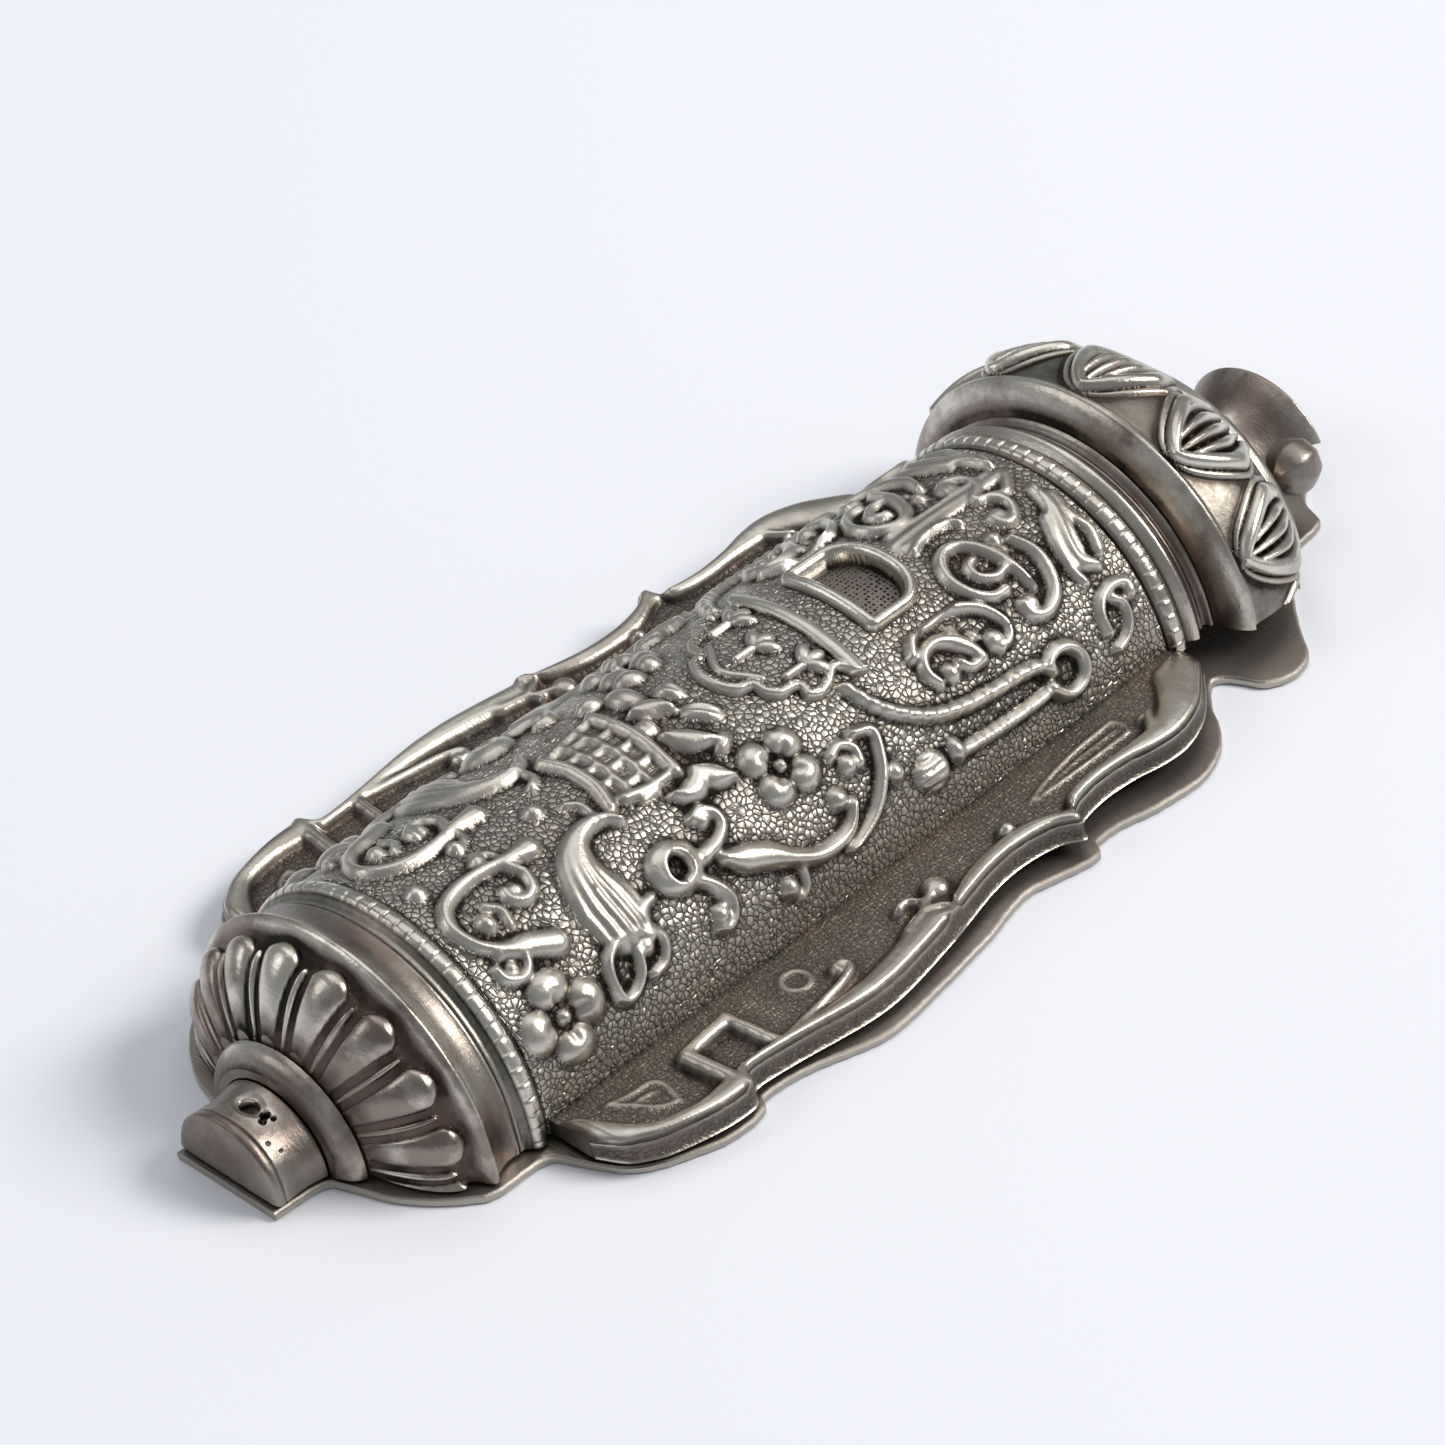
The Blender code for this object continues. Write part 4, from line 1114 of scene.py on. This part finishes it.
# ---------------------------------------------------------------- back sheet and parchment
# (station, half width) of the back sheet
SHEET_EDGE = [(-16.2, 5.1), (-12.0, 5.4), (-11.0, 7.2), (-10.2, 9.6), (-9.2, 11.4), (-8.0, 13.0),
              (-6.5, 14.5), (-5.0, 15.3), (-0.6, 15.5), (0.3, 16.6), (1.2, 18.7), (2.4, 20.7), (4.2, 22.0),
              (6.5, 23.0), (8.6, 23.7), (11.3, 23.9), (12.8, 23.4), (13.6, 22.7), (17.5, 23.1),
              (20.8, 24.2), (23.8, 24.95), (26.6, 24.8), (31.5, 24.1), (35.8, 23.4), (40.6, 22.3),
              (43.3, 22.7), (46.9, 23.5), (47.9, 23.1), (48.5, 22.4), (50.9, 22.4), (54.4, 23.2),
              (58.7, 23.5), (61.8, 22.5), (64.1, 20.6), (65.5, 18.7), (67.6, 16.8), (68.7, 17.0),
              (69.4, 18.2), (70.2, 19.9), (72.2, 20.8), (74.0, 20.6), (75.2, 19.8), (76.6, 18.0),
              (78.6, 15.8), (81.4, 13.0), (84.0, 10.9), (88.2, 10.2), (89.6, 7.6), (92.4, 5.4), (93.2, 3.6)]


SHEET_SLOTS = (-13.2, 88.3) # stations of the nail slots


def sheet_side(rows, share, z):
    """One face of the sheet: points across it at each station, dented a little and worn thin at the edge."""
    y, half = rows
    x = half[:, None] * share[None, :]
    y = np.repeat(y[:, None], len(share), 1)
    near_slot = [np.hypot(x / NAIL_HALF[0], (y - station) / NAIL_HALF[1]) for station in SHEET_SLOTS]
    pit = 1 - smoothstep(0.8, 1.05, np.minimum(*near_slot))
    middle = SHEET / 2
    dent = 0.05 * np.sin(0.31 * x + 0.7) * np.sin(0.23 * y) * (z > middle)
    near_edge = 1 - smoothstep(0.0, 0.35, half[:, None] * (1 - np.abs(share))[None, :])
    height = middle + (z - middle + dent) * (1 - 0.92 * pit) * (1 - 0.45 * near_edge)
    # the nail slots get a low cavity, which is painted near black as the shade inside the holes
    extra = {"cavity": -0.8 * pit + 0.35 * near_edge}
    return np.stack([x, y, np.clip(height, 0.0, SHEET)], -1), extra


def back_sheet():
    """The back sheet, cut to its outline, with a rounded edge and the two nail slots."""
    path = curve_through(SHEET_EDGE, 0.2)
    y = np.linspace(path[0, 0], path[-1, 0], 390)
    half = np.interp(y, path[:, 0], path[:, 1]) + 0.04 * np.sin(y * 3.1) * np.sin(y * 1.7)
    inside = np.concatenate([np.linspace(0, 0.12, 20, endpoint=False),
                             np.linspace(0.12, 0.95, 22, endpoint=False), np.linspace(0.95, 1.0, 12)])
    share = np.concatenate([-inside[:0:-1], inside])
    top, top_extra = sheet_side((y, half), share, SHEET)
    bottom, bottom_extra = sheet_side((y, half), share, 0.0)
    grids = [(top, False, top_extra), (bottom, True, bottom_extra)]
    for side, flip in ((0, True), (-1, False)):
        long_edge = np.stack([top[:, side], bottom[:, side]])
        end_edge = np.stack([top[side], bottom[side]])
        grids.append((long_edge, not flip, {"cavity": np.full(long_edge.shape[:2], 0.35)}))
        grids.append((end_edge, flip, {"cavity": np.full(end_edge.shape[:2], 0.35)}))
    add_piece("cut_back_sheet", grids, "back", SHEET_METAL, ("back_plate",))


ROLL_TURNS = 6.5
ROLL_BORE = 1.25            # radius of the spiral's start
VELLUM_THICK = 0.22


def roll():
    """Blank parchment rolled up: a spiral sheet with real thickness."""
    box_low, box_high = node_box("parchment_scroll")
    centre = (box_low + box_high) / 2
    radius = (box_high[0] - box_low[0]) / 2
    turn = np.linspace(0, 2 * math.pi * ROLL_TURNS, 420)
    reach = ROLL_BORE + (radius - ROLL_BORE - 0.06) * turn / turn[-1]
    y = np.linspace(box_low[1] - ORIGIN, box_high[1] - ORIGIN, 40)
    wave = 0.03 * np.sin(y * 0.9)[:, None]
    grids = []
    sides = []
    for offset, flip in ((0.0, False), (-VELLUM_THICK, True)):
        r = reach[None, :] + offset + wave
        x = centre[0] + r * np.cos(turn)[None, :]
        z = centre[2] + r * np.sin(turn)[None, :]
        sides.append(np.stack([x, np.repeat(y[:, None], len(turn), 1), z], -1))
        grids.append((sides[-1], flip, {}))
    grids.append((np.stack([sides[0][0], sides[1][0]]), True, {}))
    grids.append((np.stack([sides[0][-1], sides[1][-1]]), False, {}))
    grids.append((np.stack([sides[0][:, -1], sides[1][:, -1]]), True, {}))
    add_piece("rolled_parchment", grids, "scroll", VELLUM, ("parchment_scroll",))


# ---------------------------------------------------------------- table, light and camera
AZIMUTH, ELEVATION, ROLL = 47.8, 37.55, -6.0
DISTANCE = 0.43719
TARGET = (-0.01041, 0.00466, -0.001)
LENS = 145.5


def directions(azimuth, elevation):
    """Unit vectors towards the viewer, to the right and up, for a view from the given angles."""
    a, e = math.radians(azimuth), math.radians(elevation)
    back = Vector((math.sin(a) * math.cos(e), -math.cos(a) * math.cos(e), math.sin(e)))
    right = Vector((math.cos(a), math.sin(a), 0))
    return back, right, back.cross(right)


def camera():
    back, right, up = directions(AZIMUTH, ELEVATION)
    turn = math.radians(ROLL)
    right, up = right * math.cos(turn) + up * math.sin(turn), up * math.cos(turn) - right * math.sin(turn)
    data = bpy.data.cameras.new("camera")
    data.lens = LENS
    data.sensor_width = 36
    eye = put("camera", data)
    facing = Matrix((right, up, back)).transposed().to_4x4()
    eye.matrix_world = Matrix.Translation(Vector(TARGET) + back * DISTANCE) @ facing
    bpy.context.scene.camera = eye


def table():
    mesh = bpy.data.meshes.new("table")
    reach = 1.6
    corners = [(-reach, -reach, 0), (reach, -reach, 0), (reach, reach, 0), (-reach, reach, 0)]
    mesh.from_pydata(corners, [], [(0, 1, 2, 3)])
    n = Nodes("table_paper")
    n.shader.inputs["Base Color"].default_value = (0.83, 0.855, 0.915, 1.0)
    n.shader.inputs["Roughness"].default_value = 0.9
    n.shader.inputs["Specular IOR Level"].default_value = 0.1
    mesh.materials.append(n.material)
    top = put("table", mesh)


def softbox(name, azimuth, elevation, distance, size, power, colour=(1, 1, 1)):
    back, _, _ = directions(azimuth, elevation)
    data = bpy.data.lights.new(name, "AREA")
    data.shape = "RECTANGLE"
    data.size, data.size_y = size
    data.energy = power
    data.color = colour
    lamp = put(name, data)
    lamp.location = back * distance
    lamp.rotation_euler = back.to_track_quat("Z", "Y").to_euler()


def lights():
    world = bpy.data.worlds.new("studio")
    world.use_nodes = True
    sky = world.node_tree.nodes["Background"].inputs
    sky["Color"].default_value = (0.93, 0.96, 1.0, 1.0)
    sky["Strength"].default_value = 0.31
    bpy.context.scene.world = world
    bpy.context.scene.view_settings.view_transform = "Standard"
    softbox("key", 137, 42, 1.5, (0.70, 0.56), 18.4, (1.0, 0.965, 0.92))
    softbox("top", 225, 72, 1.0, (0.9, 0.9), 2.6)
    softbox("left", -40, 35, 1.0, (0.4, 0.4), 0.9)


barrel()
overlays()
lower_ring()
upper_rings()
base()
stub()
disc_cap()
crown()
finial()
wing("right_wing", "wing_right", 1)
wing("left_wing", "wing_left", -1)
back_sheet()
roll()
table()
lights()
camera()
